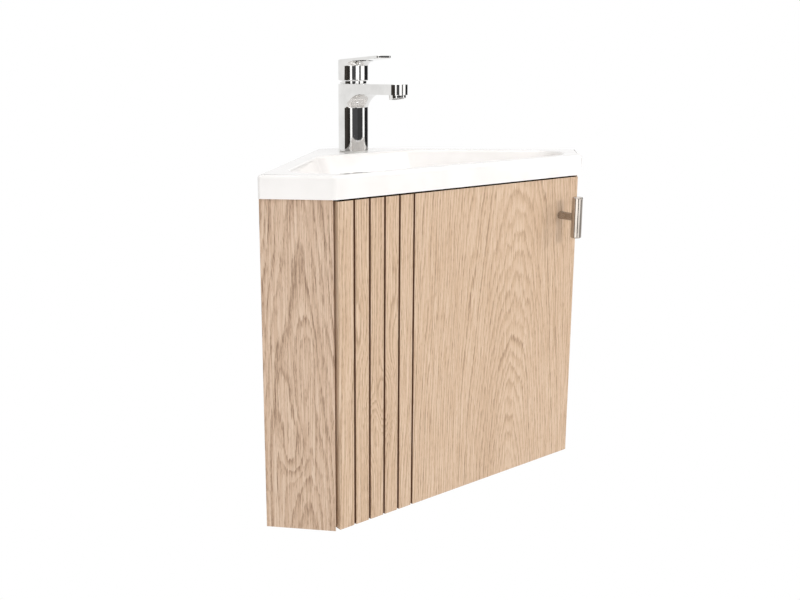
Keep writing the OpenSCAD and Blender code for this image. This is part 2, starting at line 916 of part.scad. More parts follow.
// A collar round the tap's axis that widens upwards in a hollow curve of radius r to the
// height top.
module flare(r, top) {
    axis = tap_d / 2 - flare_in + r;
    rotate_extrude() difference() {
        translate([0, top - r]) square([axis, r + 1]);
        translate([axis, top - r]) circle(r = r);
    }
}

module spout() {
    translate([0, 0, spout_low]) linear_extrude(spout_t)
        tapered_plan(tap_d / 2, spout_end_r, spout_reach);
    intersection() {
        linear_extrude(tap_h)
            tapered_plan(tap_d / 2 - flare_step, spout_end_r - flare_step, spout_reach);
        flare(spout_blend, spout_low);
    }
}

// Runs children in the aerator's own frame, +Z against the flow.
module at_aerator() {
    translate([0, -spout_reach, spout_low]) rotate([-aerator_tilt, 0, 0]) children();
}

module tap_body() {
    color("Gainsboro") at_tap() difference() {
        union() {
            translate([0, 0, gasket_t]) cylinder(d = tap_d, h = tap_h - gasket_t);
            spout();
        }
        translate([0, 0, -1]) cylinder(d = tap_hole_d + 3, h = base_hollow + 1);
        for (s = [-1, 1]) translate([s * inlet_x, inlet_y, base_hollow - 1]) {
            cylinder(d = inlet_d, h = thread_len + 1);
            cylinder(d = 5, h = chamber_low - base_hollow + 2);
        }
        translate([0, stud_y, base_hollow - 1]) cylinder(d = stud_d + 0.1, h = thread_len + 1);
        translate([0, 0, chamber_low]) cylinder(d = chamber_d, h = tap_h);
        translate([0, 0, collar_low]) cylinder(d = nut_d, h = tap_h);
        at_aerator() {
            translate([0, 0, -20]) cylinder(r = aerator_r + 0.15, h = 20 + housing_up);
            cylinder(r = aerator_r - 1.3 + 0.1, h = 9);
        }
        translate([0, -spout_reach, spout_low + 7.5]) rod_y(8, spout_reach);
    }
}

module tap_base_gasket() {
    color("DimGray") at_tap() tube(tap_d - 3, tap_hole_d + 2, gasket_t);
}

module tap_cartridge() {
    color("WhiteSmoke") at_tap() translate([0, 0, chamber_low + 0.3])
        cylinder(d = chamber_d - 1, h = collar_low - chamber_low - 0.6);
}

turret_d = 24;

module tap_cartridge_nut() {
    color("Goldenrod") at_tap() translate([0, 0, collar_low + 0.3])
        tube(nut_d - 0.4, turret_d + 1, tap_h - collar_low - 0.8);
}

module aerator_housing() {
    color("Gainsboro") at_tap() at_aerator() difference() {
        union() {
            translate([0, 0, -housing_out]) cylinder(r = aerator_r, h = housing_out + housing_up - 0.1);
            cylinder(r = aerator_r - 1.3, h = 8.5);
        }
        translate([0, 0, -housing_out - 1]) cylinder(r = aerator_r - 3, h = housing_out + 12);
    }
}

module aerator_insert() {
    insert_r = aerator_r - 3.2;
    color("DimGray") at_tap() at_aerator() translate([0, 0, -housing_out + 1]) difference() {
        cylinder(r = insert_r, h = 10);
        for (k = [0:5]) rotate(60 * k) translate([insert_r * 0.42, 0, -1]) cylinder(d = 2.4, h = 12);
        for (k = [0:11]) rotate(30 * k) translate([insert_r * 0.78, 0, -1]) cylinder(d = 2.4, h = 12);
        translate([0, 0, -1]) cylinder(d = 2.4, h = 12);
    }
}

fix_gasket_t = 3;
fix_washer_t = 2;
fix_nut_h = 7;
under_deck = -deck_t;

module tap_stud() {
    color("Goldenrod") at_tap() translate([0, stud_y, under_deck - fix_gasket_t - fix_washer_t - 20])
        cylinder(d = stud_d, h = 20 + fix_washer_t + fix_gasket_t + deck_t + base_hollow + thread_len - 1);
}

// A horseshoe plate that grips the deck round the tap's hole.
module horseshoe(h) {
    difference() {
        cylinder(r = tap_hole_d / 2 + 5, h = h);
        translate([-13.5, -3, -1]) cube([27, 40, h + 2]);
        translate([0, stud_y, -1]) cylinder(d = stud_d + 0.8, h = h + 2);
    }
}

module tap_fixing_gasket() {
    color("DimGray") at_tap() translate([0, 0, under_deck - fix_gasket_t]) horseshoe(fix_gasket_t);
}

module tap_fixing_washer() {
    color("Silver") at_tap() translate([0, 0, under_deck - fix_gasket_t - fix_washer_t])
        horseshoe(fix_washer_t);
}

module tap_fixing_nut() {
    color("Goldenrod") at_tap()
        translate([0, stud_y, under_deck - fix_gasket_t - fix_washer_t - fix_nut_h]) difference() {
            cylinder(d = 15, h = fix_nut_h, $fn = 6);
            translate([0, 0, -1]) cylinder(d = stud_d + 0.1, h = fix_nut_h + 2);
        }
}

// The neck turns with the lever. Behind the axis it is cut away, so that the
// back of the cap can come down when the lever is lifted.
neck_low = tap_h + 0.4;
neck_r = tap_d / 2 - 2.5;
cap_low = tap_h + neck_h;
tilt_z = cap_low + 8;         // height of the tilt pin
tilt_pin_d = 3;
back_slope = lever_lift - 10.8;
stem_w = 8;
ear_w = 4;
turret_up = cap_low - 0.6 - neck_low;

module tap_turret() {
    color("Gainsboro") at_tap() difference() {
        union() {
            translate([0, 0, neck_low]) cylinder(r = neck_r, h = turret_up);
            translate([0, 0, collar_low + 0.6]) cylinder(d = turret_d, h = neck_low - collar_low);
            for (s = [-1, 1]) translate([s * (stem_w / 2 + 0.4 + ear_w / 2), 0, 0]) {
                translate([-ear_w / 2, -4, neck_low]) cube([ear_w, 8, tilt_z - neck_low]);
                translate([-ear_w / 2, 0, tilt_z]) rod_x(8, ear_w);
            }
        }
        translate([-tap_d, 0, tilt_z]) rod_x(tilt_pin_d + 0.06, 2 * tap_d);
        translate([-tap_d, 0, cap_low - 1.1]) rotate([-(lever_lift - back_slope), 0, 0])
            cube([2 * tap_d, tap_d, 20]);
    }
}

module tap_tilt_pin() {
    pin_len = stem_w + 2 * ear_w;
    color("Silver") at_tap() translate([-pin_len / 2, 0, tilt_z]) rod_x(tilt_pin_d, pin_len);
}

// The lever's plan, with its sides moved inwards by step.
module lever_plan(step) {
    tip_r = 5;
    a = lever_w / 2 - step;
    root = tap_d / 2 - step;
    circle(r = root);
    for (s = [-1, 1]) translate([s * (a - tip_r), -lever_reach + tip_r]) circle(r = tip_r);
    polygon([
        [-root, 0], [-a, -lever_reach + tip_r], [-a + tip_r, -lever_reach + tip_r],
        [-a + tip_r, -lever_reach], [a - tip_r, -lever_reach], [a - tip_r, -lever_reach + tip_r],
        [a, -lever_reach + tip_r], [root, 0]
    ]);
}

cap_top = cap_low + cap_h;
blade_slope = lever_rise / (lever_reach + tap_d / 2);
lever_blend = 10;
cap_edge = 1.2;          // bevel round the cap's lower edge
cap_edge_h = 2.5;

// The lever's top surface: height at y.
function lever_z(y) = cap_top + blade_slope * (tap_d / 2 - y);

module lever_section() {
    far = -lever_reach - 1;
    front = -tap_d / 2;
    polygon([
        [tap_d / 2 + 1, lever_z(tap_d / 2 + 1)], [far, lever_z(far)], [far, lever_z(far) - lever_t],
        [front, lever_z(front) - lever_t], [front, cap_low], [0, cap_low],
        [tap_d / 2 + 1, cap_low + (tap_d / 2 + 1) * tan(back_slope)]
    ]);
}

socket_top = tilt_z + 19;
screw_z = tilt_z + 15.5;

module tap_lever() {
    color("Gainsboro") at_tap() difference() {
        union() {
            intersection() {
                translate([0, 0, cap_low - 1]) linear_extrude(cap_h + lever_rise + 5) lever_plan(0);
                across(tap_d + 2) lever_section();
            }
            intersection() {
                translate([0, 0, cap_low]) linear_extrude(cap_h) lever_plan(flare_step);
                flare(lever_blend, lever_z(-tap_d / 2) - lever_t);
            }
        }
        rotate_extrude() polygon([
            [tap_d / 2 - cap_edge * (1 + 1 / cap_edge_h), cap_low - 1],
            [tap_d / 2 + 1, cap_low - 1], [tap_d / 2 + 1, cap_low + cap_edge_h + 1],
            [tap_d / 2, cap_low + cap_edge_h]
        ]);
        translate([0, 0, cap_low - 1]) cylinder(r = tap_d / 2 - 5.5, h = 1 + tilt_z + 12 - cap_low);
        translate([-stem_w / 2 - 0.1, -stem_w / 2 - 0.1, tilt_z])
            cube([stem_w + 0.2, stem_w + 0.2, socket_top - tilt_z]);
        translate([0, 0, screw_z]) rod_y(5.2, tap_d);
    }
}

module tap_lever_stem() {
    color("Silver") at_tap() difference() {
        translate([-stem_w / 2, -stem_w / 2, tilt_z - 6]) cube([stem_w, stem_w, socket_top - tilt_z + 5.5]);
        translate([-stem_w, 0, tilt_z]) rod_x(tilt_pin_d + 0.12, 2 * stem_w);
    }
}

module tap_grub_screw() {
    color("Silver") at_tap() translate([0, stem_w / 2 + 0.2, screw_z]) rod_y(5, 9);
}

module tap_index_plug() {
    color("SteelBlue") at_tap() translate([0, stem_w / 2 + 10, screw_z]) intersection() {
        rod_y(5, tap_d);
        translate([0, -stem_w / 2 - 10, -10]) cylinder(d = tap_d, h = 20);
    }
}

// ---------- waste and trap ----------
// Heights below are above the waste's seat in the bowl.

module at_waste() {
    at_n(waste_n, floor_z) children();
}

flange_gasket_t = 1.5;
flange_low = -4 + flange_gasket_t;
tail_in_d = tail_d - 4;
boss_d = stem_d + 5;
boss_low = -26;
boss_h = 12;
low_gasket_top = -shell - 6;
low_gasket_t = 4;
waste_nut_h = 8;
tail_low = flange_low - tail_len;
plug_d = waste_d - 6;

module waste_flange() {
    color("Gainsboro") at_waste() {
        difference() {
            union() {
                translate([0, 0, flange_low]) cylinder(d = waste_d, h = -flange_low);
                translate([0, 0, tail_low]) cylinder(d = tail_d, h = tail_len);
            }
            translate([0, 0, tail_low - 1]) cylinder(d = tail_in_d, h = tail_len + 20);
        }
        difference() {
            union() {
                translate([0, 0, boss_low]) cylinder(d = boss_d, h = boss_h);
                for (k = [0:2]) rotate(120 * k + 30) translate([0, -1.2, boss_low])
                    cube([tail_in_d / 2 + 0.8, 2.4, boss_h - 4]);
            }
            translate([0, 0, boss_low - 1]) cylinder(d = stem_d + 0.12, h = boss_h + 2);
        }
    }
}

module waste_flange_gasket() {
    color("DimGray") at_waste() translate([0, 0, -4])
        tube(waste_d - 1, tail_d + 1, flange_gasket_t);
}

module waste_lower_gasket() {
    color("DimGray") at_waste() translate([0, 0, low_gasket_top - low_gasket_t])
        tube(waste_d - 2, tail_d + 0.6, low_gasket_t);
}

module waste_nut() {
    color("Gainsboro") at_waste()
        translate([0, 0, low_gasket_top - low_gasket_t - waste_nut_h]) difference() {
            union() {
                cylinder(d = tail_d + 12, h = waste_nut_h);
                for (k = [0:5]) rotate(60 * k) translate([tail_d / 2 + 5, -4, 0]) cube([4, 8, waste_nut_h]);
            }
            translate([0, 0, -1]) cylinder(d = tail_d + 0.3, h = waste_nut_h + 2);
        }
}

module waste_plug() {
    crown = 3 * plug_d;
    r = plug_d / 2;
    tilt = asin(r / crown);
    color("Gainsboro") at_waste() {
        translate([0, 0, 0.3]) rotate_extrude() polygon(concat(
            [[0, 0], [r, 0]],
            [
                for (k = [6:-1:0])
                    [crown * sin(k * tilt / 6), plug_t - crown * (1 - cos(k * tilt / 6))]
            ]
        ));
        translate([0, 0, boss_low - 4]) cylinder(d = stem_d, h = 4.5 - boss_low);
    }
}

module waste_plug_seal() {
    color("DimGray") at_waste() translate([0, 0, -2.2]) tube(tail_in_d - 0.8, tail_in_d - 6, 2.5);
}

union_h = 20;
collar_t = 3;
trap_neck_h = 14;
trap_top = tail_low - trap_drop;      // upper end of the trap's neck
trap_low = trap_top - trap_neck_h - trap_h;
trap_wall = 2.5;
slip_h = 16;
slip_d = pipe_d + 14;
neck_d = pipe_d + 8;
outlet_z = trap_top - trap_neck_h - neck_d / 2 - 3;
outlet_len = waste_n / root2;         // from the trap's axis to the wall's face
outlet_neck = bottle_d / 2 + slip_h + 2;
inlet_end = trap_low + 22;            // lower end of the inlet pipe, under the outlet
collar_z = tail_low - 0.3 - collar_t; // underside of the inlet pipe's collar
pipe_in = 16;                         // how far the outlet pipe stands in its neck
spigot_d = pipe_d - 0.5;
spigot_from = outlet_len + 4;         // where the turned end begins, behind the wall's face

module trap_inlet_pipe() {
    color("WhiteSmoke") at_waste() {
        translate([0, 0, collar_z]) tube(tail_d, pipe_d - 2 * pipe_wall, collar_t);
        translate([0, 0, inlet_end]) tube(pipe_d, pipe_d - 2 * pipe_wall, collar_z - inlet_end + eps);
    }
}

module trap_union_nut() {
    low = collar_z - 2.5;
    color("WhiteSmoke") at_waste() difference() {
        translate([0, 0, low]) cylinder(d = tail_d + 8, h = union_h);
        translate([0, 0, low + 2.3]) cylinder(d = tail_d + 0.4, h = union_h);
        translate([0, 0, low - 1]) cylinder(d = pipe_d + 1, h = union_h);
    }
}

// Turns children so that +X runs from the trap's axis to the left wall.
module toward_wall() {
    at_waste() translate([0, 0, outlet_z]) rotate(135) children();
}

module trap_body() {
    color("WhiteSmoke") difference() {
        union() {
            at_waste() translate([0, 0, trap_low]) cylinder(d = bottle_d, h = trap_h);
            at_waste() translate([0, 0, trap_low + trap_h - eps]) cylinder(d = neck_d, h = trap_neck_h);
            toward_wall() rod_x(neck_d, outlet_neck);
        }
        at_waste() translate([0, 0, trap_low - 1])
            cylinder(d = bottle_d - 2 * trap_wall, h = trap_h + 1 - trap_wall);
        at_waste() translate([0, 0, trap_low]) cylinder(d = pipe_d + 0.6, h = trap_h + trap_neck_h + 1);
        toward_wall() translate([pipe_d / 2 + 2, 0, 0]) rod_x(pipe_d - 2, outlet_neck);
        toward_wall() translate([bottle_d / 2 + 2, 0, 0]) rod_x(pipe_d + 0.6, outlet_neck);
    }
}

module trap_cup() {
    color("WhiteSmoke") at_waste() translate([0, 0, trap_low - trap_cup_h + 8]) {
        difference() {
            cylinder(d = bottle_d + 5, h = trap_cup_h);
            translate([0, 0, trap_cup_h - 8]) cylinder(d = bottle_d + 0.6, h = 9);
            translate([0, 0, 3]) cylinder(d = bottle_d - 2, h = trap_cup_h);
        }
        for (k = [0:11]) rotate(30 * k) translate([bottle_d / 2 + 1.5, -2, 0]) cube([3, 4, trap_cup_h - 4]);
    }
}

// The nuts that hold the pipes in the trap's two necks.
module slip_nut() {
    difference() {
        cylinder(d = slip_d, h = slip_h);
        translate([0, 0, -1]) cylinder(d = neck_d + 0.4, h = slip_h - 2);
        translate([0, 0, -1]) cylinder(d = pipe_d + 0.6, h = slip_h + 2);
    }
}

module trap_slip_nuts() {
    color("WhiteSmoke") {
        at_waste() translate([0, 0, trap_top - slip_h + 3.3]) slip_nut();
        toward_wall() translate([outlet_neck - slip_h + 3.3, 0, 0]) rotate([0, 90, 0]) slip_nut();
    }
}

module trap_outlet_pipe() {
    from = outlet_neck - pipe_in;
    color("WhiteSmoke") toward_wall() difference() {
        union() {
            translate([from, 0, 0]) rod_x(pipe_d, spigot_from - from);
            translate([from, 0, 0]) rod_x(spigot_d, spigot_from + spigot_len - from);
        }
        translate([from - 1, 0, 0]) rod_x(pipe_d - 2 * pipe_wall, spigot_from + spigot_len - from + 2);
    }
}

module wall_rose() {
    color("Gainsboro") toward_wall() translate([outlet_len, 0, 0]) rotate([0, -90, 0]) difference() {
        cylinder(d1 = rose_d, d2 = pipe_d + 10, h = 9);
        translate([0, 0, -2]) cylinder(d1 = rose_d - 4, d2 = pipe_d + 6, h = 9);
        translate([0, 0, -1]) cylinder(d = pipe_d + 0.6, h = 12);
    }
}

// ---------- what is drawn ----------

left_side_panel();
right_side_panel();
bottom_panel();
left_top_rail();
right_top_rail();
left_bottom_rail();
right_bottom_rail();
corner_post();
door_stop_strip();
board_dowels();
cam_discs();
cam_bolts();
hanger_plates();
hanger_plate_screws();
door_bumpers();
upper_hinge_plate();
lower_hinge_plate();
upper_hinge_arm();
lower_hinge_arm();
hinge_plate_screws();
hinge_arm_screws();
door_panel();
upper_hinge_cup();
lower_hinge_cup();
hinge_pins();
hinge_cup_screws();
knob_bar();
knob_post();
knob_screw();
basin();
tap_body();
tap_base_gasket();
tap_cartridge();
tap_cartridge_nut();
aerator_housing();
aerator_insert();
tap_stud();
tap_fixing_gasket();
tap_fixing_washer();
tap_fixing_nut();
tap_turret();
tap_tilt_pin();
tap_lever();
tap_lever_stem();
tap_grub_screw();
tap_index_plug();
waste_flange();
waste_flange_gasket();
waste_lower_gasket();
waste_nut();
waste_plug();
waste_plug_seal();
trap_inlet_pipe();
trap_union_nut();
trap_body();
trap_cup();
trap_slip_nuts();
trap_outlet_pipe();
wall_rose();
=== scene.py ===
"""Corner vanity unit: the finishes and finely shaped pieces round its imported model.

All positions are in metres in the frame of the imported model: the origin lies on the line
where the two walls meet, at the height of the cabinet's underside, +Z is up and the door
looks along -Y. Sizes in the classes are in millimetres.
"""

import json
import logging
import math
from dataclasses import dataclass, field
from enum import Enum
from functools import partial
from typing import Callable, Iterable

import bmesh
import bpy
from mathutils import Matrix, Vector

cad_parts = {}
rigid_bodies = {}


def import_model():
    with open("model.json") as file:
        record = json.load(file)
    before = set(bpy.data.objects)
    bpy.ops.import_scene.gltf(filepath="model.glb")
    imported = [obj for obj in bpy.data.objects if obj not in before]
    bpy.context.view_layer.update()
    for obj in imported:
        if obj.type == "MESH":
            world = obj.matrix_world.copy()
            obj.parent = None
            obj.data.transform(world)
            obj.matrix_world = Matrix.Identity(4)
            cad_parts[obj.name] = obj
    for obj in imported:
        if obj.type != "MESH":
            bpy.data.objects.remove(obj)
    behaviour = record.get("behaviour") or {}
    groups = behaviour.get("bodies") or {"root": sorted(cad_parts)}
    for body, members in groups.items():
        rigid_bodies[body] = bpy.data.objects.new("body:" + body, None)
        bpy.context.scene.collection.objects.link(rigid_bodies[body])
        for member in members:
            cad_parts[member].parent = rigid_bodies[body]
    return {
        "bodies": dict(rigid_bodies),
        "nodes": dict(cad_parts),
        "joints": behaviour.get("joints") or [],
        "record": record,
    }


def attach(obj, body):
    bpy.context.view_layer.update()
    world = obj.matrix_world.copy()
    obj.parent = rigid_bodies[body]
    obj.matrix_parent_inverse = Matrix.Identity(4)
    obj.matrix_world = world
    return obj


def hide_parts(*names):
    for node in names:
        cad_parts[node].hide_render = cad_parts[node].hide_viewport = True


LOG = logging.getLogger("corner_vanity")
MM = 0.001
ROOT2 = math.sqrt(2)
Point = tuple[float, float, float]
Piece = bpy.types.Object
Tree = bpy.types.NodeTree
Socket = bpy.types.NodeSocket


# ---------- small helpers for shaders ----------


def linear(hex_colour: str) -> tuple[float, float, float, float]:
    """Turns an sRGB hex colour into a linear colour.

    Args:
        hex_colour: Six hex digits, such as "D9B48F".

    Returns:
        Linear red, green, blue and an alpha of 1.
    """
    parts = [int(hex_colour[i : i + 2], 16) / 255 for i in (0, 2, 4)]
    values = [c / 12.92 if c <= 0.04045 else ((c + 0.055) / 1.055) ** 2.4 for c in parts]
    return (values[0], values[1], values[2], 1.0)


def set_inputs(tree: Tree, node: bpy.types.Node, inputs: dict) -> None:
    """Sets or links inputs of a node.

    Args:
        tree: Node tree that holds the node.
        node: The node.
        inputs: Input name or index to a value or to a socket to link from.
    """
    for key, value in inputs.items():
        if isinstance(value, Socket):
            tree.links.new(value, node.inputs[key])
        else:
            node.inputs[key].default_value = value


def add_node(tree: Tree, kind: str, inputs: dict | None = None, **settings) -> bpy.types.Node:
    """Adds a shader node with its settings, and sets or links its inputs.

    Args:
        tree: Node tree that takes the node.
        kind: Node type, such as "ShaderNodeMix".
        inputs: Input name or index to a value or to a socket to link from.
        settings: Properties of the node.

    Returns:
        The new node.
    """
    node = tree.nodes.new(kind)
    for name, value in settings.items():
        setattr(node, name, value)
    set_inputs(tree, node, inputs or {})
    return node


def empty_material(name: str) -> tuple[bpy.types.Material, Tree]:
    """Makes a material without nodes and returns it with its node tree."""
    material = bpy.data.materials.new(name)
    material.use_nodes = True
    material.node_tree.nodes.clear()
    return material, material.node_tree


def new_material(name: str) -> tuple[bpy.types.Material, Tree, bpy.types.Node, Socket]:
    """Makes a material with a Principled shader and object coordinates.

    Args:
        name: The material's name.

    Returns:
        The material, its node tree, its shader and its object coordinates.
    """
    material, tree = empty_material(name)
    shader = add_node(tree, "ShaderNodeBsdfPrincipled")
    add_node(tree, "ShaderNodeOutputMaterial", {"Surface": shader.outputs[0]})
    return material, tree, shader, add_node(tree, "ShaderNodeTexCoord").outputs["Object"]


def ramp(tree: Tree, factor: Socket, *stops: tuple[float, str]) -> Socket:
    """Adds a colour ramp.

    Args:
        tree: Node tree that takes the ramp.
        factor: Socket that drives it.
        stops: Positions from 0 to 1 with their sRGB hex colours.

    Returns:
        The ramp's colour socket.
    """
    node = add_node(tree, "ShaderNodeValToRGB", {"Fac": factor})
    elements = node.color_ramp.elements
    while len(elements) < len(stops):
        elements.new(0.5)
    for element, (position, colour) in zip(elements, stops):
        element.position = position
        element.color = linear(colour)
    return node.outputs["Color"]


def maths(tree: Tree, operation: str, *values: float | Socket) -> Socket:
    """Adds a maths node and returns its result socket."""
    return add_node(tree, "ShaderNodeMath", dict(enumerate(values)), operation=operation).outputs[0]


def noise(
    tree: Tree, place: Socket, waves: float | Point, detail: float, roughness: float = 0.5
) -> Socket:
    """Adds cloudy noise.

    Args:
        tree: Node tree that takes the noise.
        place: Coordinates in metres.
        waves: Waves per metre, one number for all ways or one for each of X, Y and Z.
        detail: Number of finer layers.
        roughness: Strength of the finer layers.

    Returns:
        The noise, about 0.5 on average.
    """
    if isinstance(waves, tuple):
        place = add_node(tree, "ShaderNodeMapping", {"Vector": place, "Scale": waves}).outputs[0]
        waves = 1.0
    inputs = {"Vector": place, "Scale": waves, "Detail": detail, "Roughness": roughness}
    return add_node(tree, "ShaderNodeTexNoise", inputs).outputs["Fac"]


def blend(tree: Tree, share: Socket, colour: Socket, over: str) -> Socket:
    """Lays an sRGB hex colour over another colour by a share from 0 to 1."""
    inputs = {"Factor": share, 6: colour, 7: linear(over)}
    return add_node(tree, "ShaderNodeMix", inputs, data_type="RGBA").outputs[2]


def emboss(tree: Tree, shader: bpy.types.Node, height: Socket, strength: float, depth_mm: float) -> None:
    """Gives a shader a bump whose depth is in millimetres."""
    inputs = {"Height": height, "Strength": strength, "Distance": depth_mm * MM}
    set_inputs(tree, shader, {"Normal": add_node(tree, "ShaderNodeBump", inputs).outputs[0]})


# ---------- finishes ----------


class Cut(Enum):
    """How a board lies in the room: turns about Z, then X, then Y bring its grain upright."""

    FRONT = (0, 0, 0)
    LEFT_WALL = (-135, 0, 0)
    RIGHT_WALL = (135, 0, 0)
    LEFT_RAIL = (-135, 0, 90)
    RIGHT_RAIL = (135, 0, 90)
    FLOOR = (0, 90, 90)

    def turn(self) -> Point:
        """Returns the three turns as one rotation, for a mapping node."""
        z, x, y = (math.radians(angle) for angle in self.value)
        turn = Matrix.Rotation(y, 3, "Y") @ Matrix.Rotation(x, 3, "X") @ Matrix.Rotation(z, 3, "Z")
        return tuple(turn.to_euler())


@dataclass(frozen=True)
class Knot:
    """A place where the grain swirls, as across and up in millimetres."""

    across: float
    up: float
    width: float
    height: float
    pull: float


@dataclass(frozen=True)
class Grooves:
    """The grooves in a board: their places, and how deep their painted shade begins and ends."""

    first: float
    pitch: float
    count: int
    face_n: float
    half_width: float = 2.2
    # Painted shade: between these two depths in millimetres the grooves' walls and floors are painted dark,
    # in the colour below.
    shade_from: float = 0.8
    shade_to: float = 4.5
    groove_shade: str = "6B4A34"


@dataclass(frozen=True)
class OakDecor:
    """Light oak decor, printed and lightly embossed: flat-sawn arches, fine pores, satin."""

    name: str
    cut: Cut
    pale: str = "DCC3AA"
    mid: str = "C9AA8C"
    dark: str = "84664C"
    # Colour of the painted shade on edges in narrow gaps.
    gap_shade: str = "33241A"
    heart: float = 60.0
    heart_depth: float = 120.0
    lean: float = 0.25
    ring_mm: float = 7.0
    swirl: float = 1.0
    contrast: float = 1.0
    late_share: float = 0.25
    pore_share: float = 0.36
    fibre_share: float = 1.20
    cloud_share: float = 0.24
    pale_by: float = 0.55
    grain_roughness: float = 0.55
    knots: tuple[Knot, ...] = ()
    grooves: Grooves | None = None
    # Painted shade: edges in front of the first limit or above the second, in millimetres, are painted dark.
    gap_shade_front: float | None = None
    gap_shade_top: float | None = None

    def build(self) -> bpy.types.Material:
        """Builds the decor from slanted growth rings, fibres, pores and soft clouds.

        Returns:
            The finished material.
        """
        material, tree, shader, place = new_material(self.name)
        calc = partial(maths, tree)
        inputs = {"Vector": place, "Rotation": self.cut.turn()}
        turned = add_node(tree, "ShaderNodeMapping", inputs).outputs[0]
        across, depth, up = add_node(tree, "ShaderNodeSeparateXYZ", {0: turned}).outputs
        grain = partial(noise, tree, turned, roughness=self.grain_roughness)
        late = self.late_wood(tree, grain, across, up)
        # Fibres 1 mm apart and 80 mm long; pores 0.5 mm wide and 11 mm long.
        fibre = grain((950, 950, 12), 3.0)
        pore = grain((1800, 1800, 85), 2.0)
        # Late wood has more and darker pores.
        low = calc("MULTIPLY_ADD", late, -0.24, 0.58)
        dash = calc("MULTIPLY", calc("SUBTRACT", pore, low), 7.0)
        dash = calc("MAXIMUM", calc("MINIMUM", dash, 1.0), 0.0)
        # Soft clouds 50 mm wide and 330 mm long.
        cloud = grain((20, 20, 3), 3.0)
        figure = calc("MULTIPLY", late, self.late_share * self.contrast)
        pores = (dash, self.pore_share * self.contrast)
        for layer, share in (pores, (fibre, self.fibre_share), (cloud, self.cloud_share)):
            figure = calc("MULTIPLY_ADD", layer, share, figure)
        figure = calc("SUBTRACT", figure, self.pale_by)
        wood = ramp(tree, figure, (0.0, self.pale), (0.30, self.mid), (0.95, self.dark))
        # Painted shade: the grooves' deeper walls and floors are painted dark brown.
        if self.grooves:
            wood = self.paint_groove_shade(tree, wood, across, depth)
        # Painted shade on edges in narrow gaps, with their sheen taken away.
        wood, unshaded = self.paint_gap_shade(tree, wood, place)
        height = calc("MULTIPLY_ADD", fibre, 0.4, calc("MULTIPLY", dash, -0.6))
        emboss(tree, shader, height, 0.35, 0.12)
        inputs = {
            "Base Color": wood,
            "Specular IOR Level": calc("MULTIPLY", unshaded, 0.5),
            "Roughness": calc("MULTIPLY_ADD", dash, 0.12, 0.44),
            "IOR": 1.48,
        }
        set_inputs(tree, shader, inputs)
        return material

    def late_wood(self, tree: Tree, grain: Callable[..., Socket], across: Socket, up: Socket) -> Socket:
        """Adds the growth rings.

        Args:
            tree: The material's node tree.
            grain: Adds noise with its own waves per metre across, through and along the board.
            across: Place across the board.
            up: Place along the board.

        Returns:
            How dark the late wood is, 0 in the early wood.
        """
        calc = partial(maths, tree)
        # The grain wanders: slow clouds 60 mm wide and 400 mm long, quick ones 20 by 250 mm,
        # and fibres jag the rings' ends by a few millimetres along the board.
        shift = 0.0
        for waves, detail, reach in (
            ((16, 16, 2.4), 2.0, 0.045 * self.swirl),
            ((50, 50, 4), 2.0, 0.010),
            ((650, 650, 5), 1.0, 0.004),
        ):
            shift = calc("MULTIPLY_ADD", calc("SUBTRACT", grain(waves, detail), 0.5), reach, shift)
        for knot in self.knots:
            shift = calc("ADD", shift, self.swirl_round(tree, across, up, knot))
        # Growth rings round a pith that leans away from the board's face give arches.
        side = calc("SUBTRACT", across, self.heart * MM)
        away = calc("MULTIPLY_ADD", up, self.lean, self.heart_depth * MM)
        square = calc("MULTIPLY_ADD", side, side, calc("MULTIPLY", away, away))
        radius = calc("ADD", calc("SQRT", square), shift)
        count = calc("DIVIDE", radius, self.ring_mm * MM)
        ring = calc("FRACT", count)
        # Each ring darkens slowly and ends sharply; some rings are darker than others.
        end = calc("SUBTRACT", 1.0, calc("POWER", ring, 14.0))
        late = calc("MULTIPLY", calc("POWER", ring, 2.0), end)
        inputs = {"W": calc("MULTIPLY", count, 0.6), "Scale": 1.0, "Detail": 1.0}
        tone = add_node(tree, "ShaderNodeTexNoise", inputs, noise_dimensions="1D").outputs["Fac"]
        return calc("MULTIPLY", late, calc("MULTIPLY", tone, 1.8))

    @staticmethod
    def swirl_round(tree: Tree, across: Socket, up: Socket, knot: Knot) -> Socket:
        """Adds the pull of one knot on the rings: strong at its middle, fading outwards."""
        calc = partial(maths, tree)
        u = calc("DIVIDE", calc("SUBTRACT", across, knot.across * MM), knot.width * MM)
        v = calc("DIVIDE", calc("SUBTRACT", up, knot.up * MM), knot.height * MM)
        square = calc("ADD", calc("MULTIPLY", u, u), calc("MULTIPLY", v, v))
        return calc("DIVIDE", knot.pull * MM, calc("ADD", calc("MULTIPLY", square, square), 1.0))

    def paint_gap_shade(self, tree: Tree, wood: Socket, place: Socket) -> tuple[Socket, Socket]:
        """Paints shade on the edges that face a narrow gap: a dark brown, without sheen.

        Args:
            tree: The material's node tree.
            wood: The decor's colour.
            place: Object coordinates.

        Returns:
            The colour, and 1 away from the painted shade or 0 on it, which takes away the sheen there.
        """
        _, y, z = add_node(tree, "ShaderNodeSeparateXYZ", {0: place}).outputs
        unshaded = add_node(tree, "ShaderNodeValue").outputs[0]
        unshaded.default_value = 1.0
        for value, way, limit in ((y, "LESS_THAN", self.gap_shade_front), (z, "GREATER_THAN", self.gap_shade_top)):
            if limit is not None:
                beyond = maths(tree, way, value, limit * MM)
                unshaded = maths(tree, "SUBTRACT", unshaded, beyond)
                wood = blend(tree, beyond, wood, self.gap_shade)
        return wood, unshaded

